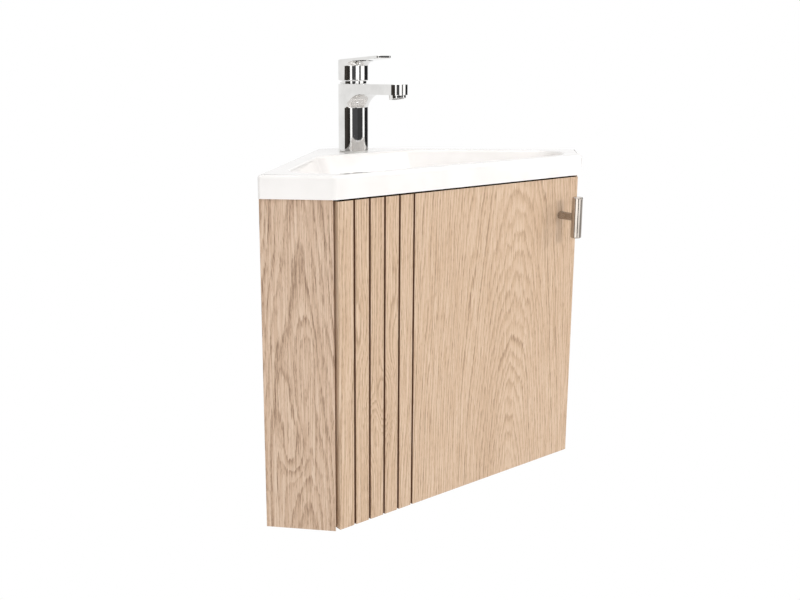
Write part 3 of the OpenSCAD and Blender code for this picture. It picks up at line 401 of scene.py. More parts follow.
    def paint_groove_shade(self, tree: Tree, wood: Socket, across: Socket, depth: Socket) -> Socket:
        """Paints shade on the grooves' walls and floors: a dark brown where they would lie in shadow.

        Args:
            tree: The material's node tree.
            wood: The decor's colour.
            across: Place across the board.
            depth: Place through the board.

        Returns:
            The colour with the painted shade.
        """
        cuts = self.grooves
        calc = partial(maths, tree)
        place = calc("DIVIDE", calc("SUBTRACT", across, cuts.first * MM), cuts.pitch * MM)
        nearest = calc("MINIMUM", calc("ROUND", place), float(cuts.count - 1))
        off = calc("ABSOLUTE", calc("SUBTRACT", place, calc("MAXIMUM", nearest, 0.0)))
        inside = calc("LESS_THAN", calc("MULTIPLY", off, cuts.pitch), cuts.half_width)
        behind = calc("ADD", depth, cuts.face_n * MM)
        below = calc("GREATER_THAN", behind, cuts.shade_from * MM)
        deep = calc("MULTIPLY", below, calc("LESS_THAN", behind, cuts.shade_to * MM))
        return blend(tree, calc("MULTIPLY", inside, deep), wood, cuts.groove_shade)


@dataclass(frozen=True)
class Glaze:
    """Gloss white sanitary glaze: deep, wet shine with the faintest waviness."""

    name: str = "white_sanitary_glaze"
    white: str = "F7F4F2"
    shade: str = "F1EEEB"

    def build(self) -> bpy.types.Material:
        """Builds the glaze and returns the material."""
        material, tree, shader, place = new_material(self.name)
        # Glaze gathers in clouds about 60 mm across.
        cloud = noise(tree, place, 16.0, 2.0)
        # Orange-peel waves about 4 mm long.
        emboss(tree, shader, noise(tree, place, 240.0, 1.0), 0.05, 0.2)
        inputs = {
            "Base Color": ramp(tree, cloud, (0.35, self.shade), (0.62, self.white)),
            "Roughness": maths(tree, "MULTIPLY_ADD", cloud, 0.03, 0.06),
            "IOR": 1.52,
        }
        set_inputs(tree, shader, inputs)
        return material


@dataclass(frozen=True)
class Metal:
    """A metal surface: plated, brushed or turned, with faint marks of handling."""

    name: str
    bright: str
    dull: str
    roughness: float = 0.05
    spread: float = 0.03
    brush_mm: float = 0.0
    brush_axis: str = "Z"
    bump: float = 0.0

    def build(self) -> bpy.types.Material:
        """Builds the metal; brush_mm is the spacing of its brush lines, 0 for none.

        Returns:
            The finished material.
        """
        material, tree, shader, place = new_material(self.name)
        # Wipe marks and water film, some 25 mm across.
        film = noise(tree, place, 40.0, 3.0, 0.6)
        rough = maths(tree, "MULTIPLY_ADD", film, self.spread, self.roughness)
        if self.brush_mm > 0:
            # A brush line is some 80 times as long as the lines are apart.
            fine = 1000 / self.brush_mm
            waves = tuple(fine * 0.012 if axis == self.brush_axis else fine for axis in "XYZ")
            lines = noise(tree, place, waves, 2.0, 0.7)
            rough = maths(tree, "MULTIPLY_ADD", maths(tree, "SUBTRACT", lines, 0.5), 0.22, rough)
            emboss(tree, shader, lines, self.bump, 0.05)
        inputs = {
            "Base Color": ramp(tree, film, (0.3, self.dull), (0.6, self.bright)),
            "Roughness": rough,
            "Metallic": 1.0,
        }
        set_inputs(tree, shader, inputs)
        return material


@dataclass(frozen=True)
class Moulded:
    """Moulded plastic or rubber: an even colour with a fine spark-eroded grain."""

    name: str
    colour: str
    worn: str
    roughness: float = 0.4
    grain_mm: float = 0.6
    bump: float = 0.15
    ior: float = 1.5

    def build(self) -> bpy.types.Material:
        """Builds the moulded finish and returns the material."""
        material, tree, shader, place = new_material(self.name)
        # Wear in clouds some 18 mm across.
        cloud = noise(tree, place, 55.0, 3.0)
        emboss(tree, shader, noise(tree, place, 1000 / self.grain_mm, 1.0), self.bump, 0.1)
        inputs = {
            "Base Color": ramp(tree, cloud, (0.3, self.worn), (0.65, self.colour)),
            "Roughness": maths(tree, "MULTIPLY_ADD", cloud, 0.12, self.roughness - 0.06),
            "IOR": self.ior,
        }
        set_inputs(tree, shader, inputs)
        return material


Finish = OakDecor | Glaze | Metal | Moulded


# ---------- modelling by hand ----------


def let_go() -> None:
    """Deselects every object."""
    for thing in bpy.context.selected_objects:
        thing.select_set(False)
    bpy.context.view_layer.objects.active = None


def take(piece: Piece) -> None:
    """Makes a piece the only selected and the active object."""
    let_go()
    piece.select_set(True)
    bpy.context.view_layer.objects.active = piece


def block(name: str, low: Point, high: Point) -> Piece:
    """Adds a cube primitive that fills a box given in millimetres.

    Args:
        name: The piece's name.
        low: Lowest corner.
        high: Highest corner.

    Returns:
        The block, with its place in its mesh.
    """
    let_go()
    middle = [(a + b) / 2 * MM for a, b in zip(low, high)]
    size = [(b - a) * MM for a, b in zip(low, high)]
    bpy.ops.mesh.primitive_cube_add(size=1, location=middle, scale=size)
    return settle(name)


def round_bar(
    name: str, diameter: float, low: float, high: float, centre: tuple[float, float] = (0, 0), sides: int = 96
) -> Piece:
    """Adds an upright cylinder primitive, sizes in millimetres.

    Args:
        name: The piece's name.
        diameter: Its diameter.
        low: Height of its lower end.
        high: Height of its upper end.
        centre: X and Y of its axis.
        sides: Number of sides.

    Returns:
        The cylinder, with its place in its mesh.
    """
    let_go()
    bpy.ops.mesh.primitive_cylinder_add(
        vertices=sides,
        radius=diameter / 2 * MM,
        depth=(high - low) * MM,
        location=(centre[0] * MM, centre[1] * MM, (low + high) / 2 * MM),
    )
    return settle(name)


def settle(name: str) -> Piece:
    """Names the new primitive and moves its place into its mesh.

    Args:
        name: The piece's name.

    Returns:
        The piece.
    """
    piece = bpy.context.active_object
    piece.name = name
    piece.data.name = name
    bpy.ops.object.transform_apply(location=True, rotation=True, scale=True)
    return piece


def edit(piece: Piece, mode: str = "EDGE") -> bmesh.types.BMesh:
    """Opens a piece in edit mode with nothing selected.

    Args:
        piece: The piece to edit.
        mode: VERT, EDGE or FACE.

    Returns:
        Its edit mesh.
    """
    take(piece)
    bpy.ops.object.mode_set(mode="EDIT")
    bpy.ops.mesh.select_mode(type=mode)
    bpy.ops.mesh.select_all(action="DESELECT")
    return bmesh.from_edit_mesh(piece.data)


def close() -> None:
    """Leaves edit mode."""
    bpy.ops.object.mode_set(mode="OBJECT")


def pick(mesh: bmesh.types.BMesh, items: Iterable, test: Callable[..., bool], piece: Piece) -> int:
    """Selects the edges or faces that pass a test.

    Args:
        mesh: The edit mesh.
        items: Its edges or faces.
        test: Says whether one is wanted.
        piece: The piece being edited.

    Returns:
        How many were selected.
    """
    count = 0
    for item in items:
        if test(item):
            item.select_set(True)
            count += 1
    mesh.select_flush_mode()
    bmesh.update_edit_mesh(piece.data)
    return count


def slice_off(piece: Piece, point: Point, outward: Point) -> None:
    """Cuts away what lies on the outward side of a plane and closes the cut.

    Args:
        piece: The piece to cut.
        point: A point of the plane, in millimetres.
        outward: The plane's normal, towards what goes.
    """
    edit(piece)
    bpy.ops.mesh.select_all(action="SELECT")
    bpy.ops.mesh.bisect(plane_co=[c * MM for c in point], plane_no=outward, use_fill=True, clear_outer=True)
    close()


def score(piece: Piece, point: Point, normal: Point) -> None:
    """Adds a line of edges round a piece where a plane crosses it."""
    edit(piece)
    bpy.ops.mesh.select_all(action="SELECT")
    bpy.ops.mesh.bisect(plane_co=[c * MM for c in point], plane_no=normal)
    close()


def round_edges(
    piece: Piece, test: Callable[[bmesh.types.BMEdge], bool], offset: float, segments: int
) -> None:
    """Bevels the edges that pass a test.

    Args:
        piece: The piece to shape.
        test: Says whether an edge is bevelled.
        offset: Width of the bevel on each side, in millimetres.
        segments: Number of strips.
    """
    mesh = edit(piece)
    if pick(mesh, mesh.edges, test, piece):
        bpy.ops.mesh.bevel(
            offset=offset * MM, offset_type="OFFSET", segments=segments, profile=0.5, clamp_overlap=False
        )
    close()


def apply_modifier(piece: Piece, kind: str, **settings) -> None:
    """Gives a piece a modifier with its settings, and applies it."""
    take(piece)
    modifier = piece.modifiers.new(kind.lower(), kind)
    for name, value in settings.items():
        setattr(modifier, name, value)
    bpy.ops.object.modifier_apply(modifier=modifier.name)


def combine(piece: Piece, other: Piece, operation: str) -> None:
    """Joins, cuts or intersects a piece with another, which is used up.

    Args:
        piece: The piece that stays.
        other: The piece that shapes it.
        operation: UNION, DIFFERENCE or INTERSECT.
    """
    apply_modifier(piece, "BOOLEAN", operation=operation, solver="MANIFOLD", object=other)
    bpy.data.objects.remove(other, do_unlink=True)


def upright(edge: bmesh.types.BMEdge) -> bool:
    """Says whether an edge runs straight up."""
    a, b = (v.co for v in edge.verts)
    return abs(a.z - b.z) > 1e-4 and math.hypot(a.x - b.x, a.y - b.y) < 1e-6


def above(edge: bmesh.types.BMEdge, z: float) -> bool:
    """Says whether an edge lies wholly above a height in metres."""
    return min(v.co.z for v in edge.verts) > z


def between(edge: bmesh.types.BMEdge, low: float, high: float) -> bool:
    """Says whether an edge starts between two distances from the middle, in millimetres."""
    return low < abs(edge.verts[0].co.x) / MM < high


def sharp(edge: bmesh.types.BMEdge, degrees: float = 40) -> bool:
    """Says whether an edge is sharper than an angle."""
    return len(edge.link_faces) == 2 and edge.calc_face_angle(0) > math.radians(degrees)


def soften(piece: Piece, width: float, segments: int = 2, degrees: float = 40) -> None:
    """Breaks all sharp edges of a piece.

    Args:
        piece: The piece to finish.
        width: Width of the broken edge, in millimetres.
        segments: Number of strips.
        degrees: Edges flatter than this stay.
    """
    limits = {"limit_method": "ANGLE", "angle_limit": math.radians(degrees), "use_clamp_overlap": True}
    apply_modifier(piece, "BEVEL", width=width * MM, segments=segments, harden_normals=False, **limits)


def tidy(piece: Piece, smooth: float = 30) -> None:
    """Merges doubles, points all faces outwards and shades by angle.

    Args:
        piece: The piece to finish.
        smooth: Faces that meet flatter than this many degrees are shaded smooth.
    """
    edit(piece, "VERT")
    bpy.ops.mesh.select_all(action="SELECT")
    bpy.ops.mesh.remove_doubles(threshold=1e-6)
    bpy.ops.mesh.normals_make_consistent(inside=False)
    close()
    take(piece)
    bpy.ops.object.shade_smooth_by_angle(angle=math.radians(smooth))


def even_shading(piece: Piece) -> None:
    """Weights a piece's shading by face area, so that long faces look straight beside small ones."""
    apply_modifier(piece, "WEIGHTED_NORMAL", mode="FACE_AREA", weight=50, keep_sharp=True)


def lay(piece: Piece, place: Point, degrees: float) -> None:
    """Turns a piece about the X axis and moves it to a place in millimetres."""
    take(piece)
    spot = Matrix.Translation([c * MM for c in place])
    piece.matrix_world = spot @ Matrix.Rotation(math.radians(degrees), 4, "X")
    bpy.ops.object.transform_apply(location=True, rotation=True, scale=True)


def from_walls(along_left: float, along_right: float) -> tuple[float, float]:
    """Turns places along the two walls into X and Y."""
    return ((along_right - along_left) / ROOT2, -(along_left + along_right) / ROOT2)


# ---------- what all pieces share ----------


@dataclass
class Unit:
    """Sizes that several sub-assemblies share, in millimetres."""

    height: float = 460.0
    leg: float = 428.0
    return_depth: float = 98.0
    board: float = 16.0
    proud: float = 4.8
    rim_z: float = 491.0
    tap_n: float = 97.6
    waste_n: float = 245.0

    @property
    def corner_n(self) -> float:
        """Distance from the corner to the side panels' front corners."""
        return (self.leg + self.return_depth) / ROOT2

    @property
    def half_front(self) -> float:
        """Half the width between the side panels' front corners."""
        return (self.leg - self.return_depth) / ROOT2

    @property
    def door_front(self) -> float:
        """Distance from the corner to the door's face."""
        return self.corner_n + self.proud


@dataclass
class Finishes:
    """Builds each finish once and hands it out by name."""

    made: dict[str, bpy.types.Material] = field(default_factory=dict)

    def get(self, finish: Finish) -> bpy.types.Material:
        """Returns the finish's material, building it at its first use."""
        if finish.name not in self.made:
            self.made[finish.name] = finish.build()
        return self.made[finish.name]


@dataclass
class SubAssembly:
    """A group of pieces of the unit, with what they share."""

    frame: dict
    unit: Unit
    finishes: Finishes
    pieces: list[str] = field(default_factory=list)

    def dress(self, finish: Finish, *nodes: str) -> None:
        """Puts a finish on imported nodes, whose shapes stay as they are.

        Args:
            finish: The finish.
            nodes: Names of the nodes.
        """
        material = self.finishes.get(finish)
        for name in nodes:
            mesh = self.frame["nodes"][name].data
            mesh.materials.clear()
            mesh.materials.append(material)
            self.pieces.append(name)

    def finish(self, piece: Piece, finish: Finish, body: str, slot: str, *nodes: str) -> None:
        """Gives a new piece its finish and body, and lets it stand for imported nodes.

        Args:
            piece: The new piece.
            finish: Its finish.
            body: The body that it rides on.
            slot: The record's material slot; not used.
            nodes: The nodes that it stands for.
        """
        even_shading(piece)
        piece.data.materials.clear()
        piece.data.materials.append(self.finishes.get(finish))
        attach(piece, body)
        if nodes:
            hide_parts(*nodes)
        self.pieces.append(piece.name)


FITTING_STEEL = Metal("nickel_plated_steel", "C9C9C6", "B4B4B1", 0.24, 0.10, 0.35, "Z", 0.10)
CHROME = Metal("polished_chrome_plate", "E5E4E2", "DAD9D7", 0.025, 0.02)
TURNED_BRASS = Metal("turned_brass", "C9A35C", "B58F4B", 0.26, 0.08, 0.4, "X", 0.12)
DIE_CAST = Metal("die_cast_zinc", "A9AAAB", "8F9091", 0.38, 0.10)
POLISHED_STEEL = Metal("polished_stainless_steel", "BDB5AD", "ADA59D", 0.07, 0.03)
SATIN_STEEL = Metal("satin_stainless_steel", "BDB7B1", "A39C95", 0.22, 0.08, 0.30, "Y", 0.12)
WHITE_PIPE = Moulded("white_polypropylene", "EEEEEB", "E4E4E0", 0.42)
BLACK_RUBBER = Moulded("black_nitrile_rubber", "1C1C1D", "28282A", 0.7, 0.8, 0.25)
CLEAR_BUMPER = Moulded("clear_soft_bumper", "DADAD6", "D0D0CB", 0.35, 0.9, 0.05)
DARK_ACETAL = Moulded("dark_acetal", "2B2C2E", "34363A", 0.45)
BLUE_CAP = Moulded("blue_index_plastic", "2F5FA8", "294F8C", 0.25)


# ---------- cabinet ----------


@dataclass
class Cabinet(SubAssembly):
    """The fixed boards and fittings of the cabinet."""

    edge_mm: float = 0.5

    def side_panel(self, name: str, mirrored: bool) -> Piece:
        """Models a side panel with mitred front edge and broken corners.

        Args:
            name: The piece's name.
            mirrored: True for the right-hand panel.

        Returns:
            The panel.
        """
        u = self.unit
        flip = -1 if mirrored else 1
        panel = block(name, (-310, -390, 0), (310, -200, u.height))
        outer = from_walls(u.leg, u.return_depth / 2)
        inner = from_walls(u.leg - u.board, u.return_depth / 2)
        slice_off(panel, (flip * outer[0], outer[1], 0), (-flip, -1, 0))
        slice_off(panel, (flip * inner[0], inner[1], 0), (flip, 1, 0))
        wall = from_walls(u.leg, 0)
        slice_off(panel, (flip * wall[0], wall[1], 0), (-flip, 1, 0))
        slice_off(panel, (-flip * u.half_front, 0, 0), (flip, 0, 0))
        soften(panel, self.edge_mm)
        tidy(panel)
        return panel

    def build(self) -> None:
        """Models the side panels and dresses the other boards and fittings."""
        # Painted shade on the side panels' mitred front edges, in the gap by the door.
        front = -self.unit.corner_n + 0.1
        side = {"ring_mm": 6.0, "swirl": 0.7, "gap_shade_front": front}
        left = OakDecor(
            "oak_decor_left_side",
            Cut.LEFT_WALL,
            pale="DFC6AE",
            mid="CAAB90",
            dark="806249",
            heart=-50.0,
            heart_depth=16.0,
            lean=0.085,
            contrast=1.2,
            knots=(Knot(-42, 120, 15, 42, 15), Knot(-60, 250, 13, 48, -9), Knot(-30, 190, 11, 36, 6)),
            **side,
        )
        right = OakDecor(
            "oak_decor_right_side", Cut.RIGHT_WALL, heart=46.0, heart_depth=20.0, lean=0.09, **side
        )
        for name, finish, mirrored, node in (
            ("left_side_board", left, False, "left_side_panel"),
            ("right_side_board", right, True, "right_side_panel"),
        ):
            self.finish(self.side_panel(name, mirrored), finish, "cabinet", "side_oak", node)
        inner = OakDecor("oak_decor_inner", Cut.FRONT, heart=-80.0, heart_depth=160.0, contrast=0.7)
        self.dress(inner, "corner_post", "door_stop_strip", "board_dowels")
        for side_name, cut in (("left", Cut.LEFT_RAIL), ("right", Cut.RIGHT_RAIL)):
            rails = OakDecor(
                f"oak_decor_{side_name}_rails", cut, heart=215.0, heart_depth=40.0, lean=0.05, contrast=0.7
            )
            self.dress(rails, f"{side_name}_top_rail", f"{side_name}_bottom_rail")
        floor = OakDecor(
            "oak_decor_floor", Cut.FLOOR, heart=-240.0, heart_depth=22.0, lean=0.12, contrast=0.7
        )
        self.dress(floor, "bottom_panel")
        self.dress(DIE_CAST, "cam_discs")
        self.dress(
            FITTING_STEEL,
            *("cam_bolts", "hanger_plates", "hanger_plate_screws", "hinge_plate_screws", "hinge_arm_screws"),
            *("upper_hinge_plate", "lower_hinge_plate", "upper_hinge_arm", "lower_hinge_arm"),
        )
        self.dress(CLEAR_BUMPER, "door_bumpers")


# ---------- door ----------


@dataclass
class Door(SubAssembly):
    """The door with its grooves, hinge cups and bar knob."""

    thickness: float = 16.0
    side_gap: float = 3.6
    low: float = 3.0
    high: float = 457.4
    grooves: int = 5
    first_groove: float = 26.0
    groove_pitch: float = 25.3
    groove_width: float = 3.6
    groove_depth: float = 3.0
    groove_slope: float = 0.5
    edge_mm: float = 0.45
    knob_in: float = 38.0
    knob_down: float = 57.0
    bar_length: float = 63.0
    bar_diameter: float = 16.0
    bar_out: float = 33.0
    bar_end: float = 2.2
    post_diameter: float = 12.0
    post_edge: float = 0.4
    post_in_bar: float = 1.0

    @property
    def half(self) -> float:
        """Half the door's width."""
        return self.unit.half_front - self.side_gap

    def panel(self) -> Piece:
        """Models the door: its section is drawn flat, grooved, and pulled up to height.

        Returns:
            The door panel.
        """
        let_go()
        half_thick = self.thickness / 2
        middle_y = -(self.unit.door_front - half_thick)
        bpy.ops.mesh.primitive_plane_add(size=1, location=(0, middle_y * MM, self.low * MM))
        door = settle("door_board")
        mesh = edit(door, "VERT")
        for vertex in mesh.verts:
            vertex.co.x *= 2 * self.half * MM
            vertex.co.y = (middle_y + math.copysign(half_thick, vertex.co.y - middle_y * MM)) * MM
        bmesh.update_edit_mesh(door.data)
        close()
        outer = self.groove_width / 2
        inner = outer - self.groove_slope
        floors = []
        for k in range(self.grooves):
            middle = -self.half + self.first_groove + k * self.groove_pitch
            for x in (middle - outer, middle - inner, middle + inner, middle + outer):
                score(door, (x, 0, 0), (1, 0, 0))
            floors.append((middle - inner, middle + inner))
        mesh = edit(door, "VERT")
        slack = 0.01
        for vertex in mesh.verts:
            x = vertex.co.x / MM
            at_front = vertex.co.y < -(self.unit.door_front - slack) * MM
            if at_front and any(a - slack < x < b + slack for a, b in floors):
                vertex.co.y += self.groove_depth * MM
        bmesh.update_edit_mesh(door.data)
        bpy.ops.mesh.select_all(action="SELECT")
        rise = (0, 0, (self.high - self.low) * MM)
        bpy.ops.mesh.extrude_region_move(TRANSFORM_OT_translate={"value": rise})
        close()
        tidy(door)
        soften(door, self.edge_mm, 2, 30)
        tidy(door)
        return door

    def knob(self) -> tuple[Piece, Piece]:
        """Models the knob's bar with rounded ends and its post.

        Returns:
            The bar and the post.
        """
        x = self.half - self.knob_in
        z = self.high - self.knob_down
        front = self.unit.door_front
        half = self.bar_length / 2
        bar = round_bar("knob_grip", self.bar_diameter, z - half, z + half, (x, -(front + self.bar_out)), 64)
        round_edges(bar, lambda e: sharp(e, 60), self.bar_end, 6)
        post = round_bar("knob_stem", self.post_diameter, 0, self.bar_out - self.post_in_bar, (0, 0), 48)
        round_edges(post, lambda e: sharp(e, 60) and e.verts[0].co.z < MM, self.post_edge, 3)
        lay(post, (x, -front, z), 90)
        for piece in (bar, post):
            tidy(piece)
        return bar, post

    def build(self) -> None:
        """Models the door and knob and dresses the hinge parts."""
        first = -self.half + self.first_groove
        oak = OakDecor(
            "oak_decor_door",
            Cut.FRONT,
            heart=98.0,
            heart_depth=24.0,
            lean=0.14,
            ring_mm=4.4,
            swirl=0.5,
            contrast=0.9,
            # Painted shade on the door's top edge, in the gap under the basin.
            gap_shade_top=self.high - 0.05,
            knots=(
                Knot(-148, 175, 17, 46, 24),
                Knot(-176, 135, 14, 44, -16),
                Knot(-128, 330, 12, 60, 12),
                Knot(-190, 290, 12, 50, 10),
            ),
            grooves=Grooves(first, self.groove_pitch, self.grooves, self.unit.door_front),
        )
        self.finish(self.panel(), oak, "door", "door_oak", "door_panel")
        bar, post = self.knob()
        self.finish(bar, POLISHED_STEEL, "door", "chrome", "knob_bar")
        self.finish(post, SATIN_STEEL, "door", "chrome", "knob_post")
        self.dress(FITTING_STEEL, "upper_hinge_cup", "lower_hinge_cup", "hinge_pins", "hinge_cup_screws")
        self.dress(FITTING_STEEL, "knob_screw")


# ---------- basin ----------


@dataclass
class Basin(SubAssembly):
    """The glazed basin: deck, skirt and bowl in one casting."""

    over: float = 6.0
    front_over: float = 2.2
    corner_cut: float = 35.0
    shell: float = 9.0
    deck: float = 12.0
    rim_wall: float = 25.0
    rim_side: float = 24.0
    rim_front: float = 17.0
    deck_n: float = 135.0
    front_skirt: float = 30.0
    depth: float = 100.0
    fall: float = 14.0
    draft: float = 17.0
    edge_r: float = 5.0
    hollow_r: float = 16.0
    seat_d: float = 67.0
    tail_hole: float = 45.8
    tap_hole: float = 35.0
    back_corner: float = 60.0
    front_corner: float = 45.0
    least_corner: float = 12.0
    hinge_x: float = 217.745
    hinge_n: float = 367.238
    hinge_relief: float = 16.6

    @property
    def reach(self) -> float:
        """Length of the basin along each wall."""
        return self.unit.leg + self.over

    @property
    def front(self) -> float:
        """Distance from the corner to the basin's front face."""
        return self.unit.door_front + self.front_over

    def sides(self, shift: float = 0.0) -> list[tuple[Point, Point]]:
        """Lists the planes of the slab's outline, moved inwards.

        Args:
            shift: How far they move, in millimetres.

        Returns:
            A point and an outward normal for each.
        """
        s = 1 / ROOT2
        end = from_walls(self.reach - shift, 0)
        return [
            ((shift * s, -shift * s, 0), (-s, s, 0)),
            ((-shift * s, -shift * s, 0), (s, s, 0)),
            ((0, -(self.corner_cut / ROOT2 + shift), 0), (0, 1, 0)),
            ((end[0], end[1], 0), (-s, -s, 0)),
            ((-end[0], end[1], 0), (s, -s, 0)),
            ((0, -(self.front - shift), 0), (0, -1, 0)),
        ]

    def bowl_sides(self, shift: float) -> list[tuple[Point, Point]]:
        """Lists the planes of the bowl's opening, moved inwards.

        Args:
            shift: How far they move, in millimetres.

        Returns:
            A point and an outward normal for each.
        """
        s = 1 / ROOT2
        wall = from_walls(200, self.rim_wall + shift)
        end = from_walls(self.reach - self.rim_side - shift, 60)
        return [
            ((wall[0], wall[1], 0), (-s, s, 0)),
            ((-wall[0], wall[1], 0), (s, s, 0)),
            ((0, -(self.deck_n + shift), 0), (0, 1, 0)),
            ((end[0], end[1], 0), (-s, -s, 0)),
            ((-end[0], end[1], 0), (s, -s, 0)),
            ((0, -(self.front - self.rim_front - shift), 0), (0, -1, 0)),
        ]

    def slab(self) -> Piece:
        """Models the slab with its rounded corners and top edge.

        Returns:
            The slab.
        """
        u = self.unit
        slab = block("basin_casting", (-330, -400, u.height), (330, 0, u.rim_z))
        for point, outward in self.sides():
            slice_off(slab, point, outward)
        # Where each pair of corners lies across, with its radius and angle.
        for x_min, x_max, radius, angle in ((0, 40, 6.0, 135), (295, 330, 4.0, 90), (220, 260, 8.0, 135)):
            offset = radius / math.tan(math.radians(angle / 2))
            round_edges(slab, lambda e: upright(e) and between(e, x_min, x_max), offset, 8)
        top = u.rim_z * MM - 1e-5
        round_edges(slab, lambda e: sharp(e, 60) and all(v.co.z > top for v in e.verts), self.edge_r, 6)
        score(slab, (0, 0, 0), (1, 0, 0))
        return slab

    def section(self, thick: float) -> list[tuple[float, float]]:
        """Lists the bowl's section from the top down as inset and depth.

        Args:
            thick: 0 for the inside, the shell's thickness for the outside.

        Returns:
            The points, the first one at the top.
        """
        slope = math.radians(self.draft)
        lip = self.edge_r
        top = (lip * math.cos(slope), lip * (1 - math.sin(slope)))
        low = self.depth - self.fall - self.hollow_r
        foot = top[0] + (low - top[1]) * math.tan(slope)
        if thick:
            start = 8.0
            path = [(foot - (low - start) * math.tan(slope) - thick / math.cos(slope), start)]
        else:
            path = [(0.0, 0.02)]
            for k in range(1, 8):
                turn = (math.pi / 2 - slope) * k / 7
                path.append((lip * math.sin(turn), lip * (1 - math.cos(turn))))
        radius = self.hollow_r + thick
        centre = (foot + self.hollow_r * math.cos(slope), low - self.hollow_r * math.sin(slope))
        for k in range(0, 8):
            turn = slope + math.radians(84 - self.draft) * k / 7
            path.append((centre[0] - radius * math.cos(turn), centre[1] + radius * math.sin(turn)))
        return path

    def form(self, name: str, thick: float) -> Piece:
        """Models the bowl's inner or outer form by insetting its outline step by step.

        Args:
            name: The piece's name.
            thick: 0 for the inside, the shell's thickness for the outside.

        Returns:
            The form, a closed solid.
        """
        path = self.section(thick)
        start, depth = path[0]
        rise = 0.5 if thick else 10
        top = self.unit.rim_z - depth
        form = block(name, (-300, -400, top), (300, -100, top + rise))
        for point, outward in self.bowl_sides(start):
            slice_off(form, point, outward)
        for x_min, x_max, radius, angle in (
            (40, 130, self.back_corner, 135),
            (235, 300, self.front_corner, 90),
            (190, 235, self.front_corner, 135),
        ):
            offset = (radius - start) / math.tan(math.radians(angle / 2))
            round_edges(form, lambda e: upright(e) and between(e, x_min, x_max), offset, 14)
        score(form, (0, 0, 0), (1, 0, 0))
        mesh = edit(form, "FACE")
        pick(mesh, mesh.faces, lambda f: f.normal.z < -0.9, form)
        self.sink(form, path)
        self.floor(form, path[-1][1], thick)
        close()
        tidy(form)
        return form

    def arcs(self, shift: float) -> list[tuple[Vector, float]]:
        """Lists centre and radius of the opening's corner arcs, moved inwards by shift.

        Returns:
            Centres in metres and radii in millimetres.
        """
        found = []
        # The first two corners lie at the back, by the mixer; 0 to 5 are the planes of bowl_sides.
        for i, j in ((0, 2), (1, 2), (0, 3), (1, 4), (3, 5), (4, 5)):
            corner = self.back_corner if j == 2 else self.front_corner
            radius = max(corner - shift, self.least_corner)
            sides = self.bowl_sides(shift + radius)
            (p, a), (q, b) = sides[i], sides[j]
            c, d = a[0] * p[0] + a[1] * p[1], b[0] * q[0] + b[1] * q[1]
            cross = a[0] * b[1] - a[1] * b[0]
            centre = Vector(((c * b[1] - d * a[1]) / cross, (a[0] * d - b[0] * c) / cross)) * MM
            found.append((centre, radius))
        return found

    @staticmethod
    def nearest_arc(arcs: list[tuple[Vector, float]], here: Vector) -> int:
        """Returns the number of the nearest arc that a point lies on.

        Args:
            arcs: Centres in metres and radii in millimetres.
            here: The point, in metres.
        """

        def miss(k: int) -> tuple[bool, float]:
            """Returns whether the point is off an arc, and how far it is from its centre."""
            apart = (here - arcs[k][0]).length
            return abs(apart / MM - arcs[k][1]) > 0.01, apart

        return min(range(len(arcs)), key=miss)

    def sink(self, form: Piece, path: list[tuple[float, float]]) -> None:
        """Extrudes the form's lower face level by level along the section.

        Args:
            form: The form, with its lower face selected.
            path: Inset and depth of each level, the face's own level first.
        """
        first = self.arcs(path[0][0])
        mesh = bmesh.from_edit_mesh(form.data)
        ring = []
        for vertex in [v for v in mesh.verts if v.select]:
            here = vertex.co.xy
            if abs(here.x) < 1e-6:
                ring.append((vertex.co.copy(), -1, here.normalized()))
                continue
            k = self.nearest_arc(first, here)
            ring.append((vertex.co.copy(), k, (here - first[k][0]).normalized()))
        for inset, depth in path[1:]:
            bpy.ops.mesh.extrude_region_move(TRANSFORM_OT_translate={"value": (0, 0, 0)})
            mesh = bmesh.from_edit_mesh(form.data)
            now = self.arcs(inset)
            sides = self.bowl_sides(inset)
            moved = []
            for vertex in [v for v in mesh.verts if v.select]:
                _, k, way = min(ring, key=lambda entry: (entry[0] - vertex.co).length)
                if k < 0:
                    spot = Vector((0, sides[2][0][1] if vertex.co.y > -0.25 else sides[5][0][1])) * MM
                else:
                    spot = now[k][0] + way * now[k][1] * MM
                vertex.co = (spot.x, spot.y, (self.unit.rim_z - depth) * MM)
                moved.append((vertex.co.copy(), k, way))
            bmesh.update_edit_mesh(form.data)
            ring = moved

    def floor(self, form: Piece, depth: float, thick: float) -> None:
        """Runs the floor from its edge to a circle round the waste, in three steps.

        Args:
            form: The form, with its lowest face selected.
            depth: Depth of that face.
            thick: 0 for the inside, the shell's thickness for the outside.
        """
        centre = Vector((0, -self.unit.waste_n * MM, 0))
        last = self.depth + thick
        radius = (self.seat_d / 2 - 4 + thick) * MM
        mesh = bmesh.from_edit_mesh(form.data)
        ring = [(v.co.copy(), Vector((v.co.x, v.co.y, 0))) for v in mesh.verts if v.select]
        for k in (1, 2, 3):
            bpy.ops.mesh.extrude_region_move(TRANSFORM_OT_translate={"value": (0, 0, 0)})
            mesh = bmesh.from_edit_mesh(form.data)
            moved = []
            for vertex in [v for v in mesh.verts if v.select]:
                edge = min(ring, key=lambda pair: (pair[0] - vertex.co).length)[1]
                goal = centre + (edge - centre).normalized() * radius
                spot = edge.lerp(goal, k / 3)
                spot.z = (self.unit.rim_z - depth - (last - depth) * k / 3) * MM
                vertex.co = spot
                moved.append((spot.copy(), edge))
            bmesh.update_edit_mesh(form.data)
            ring = moved

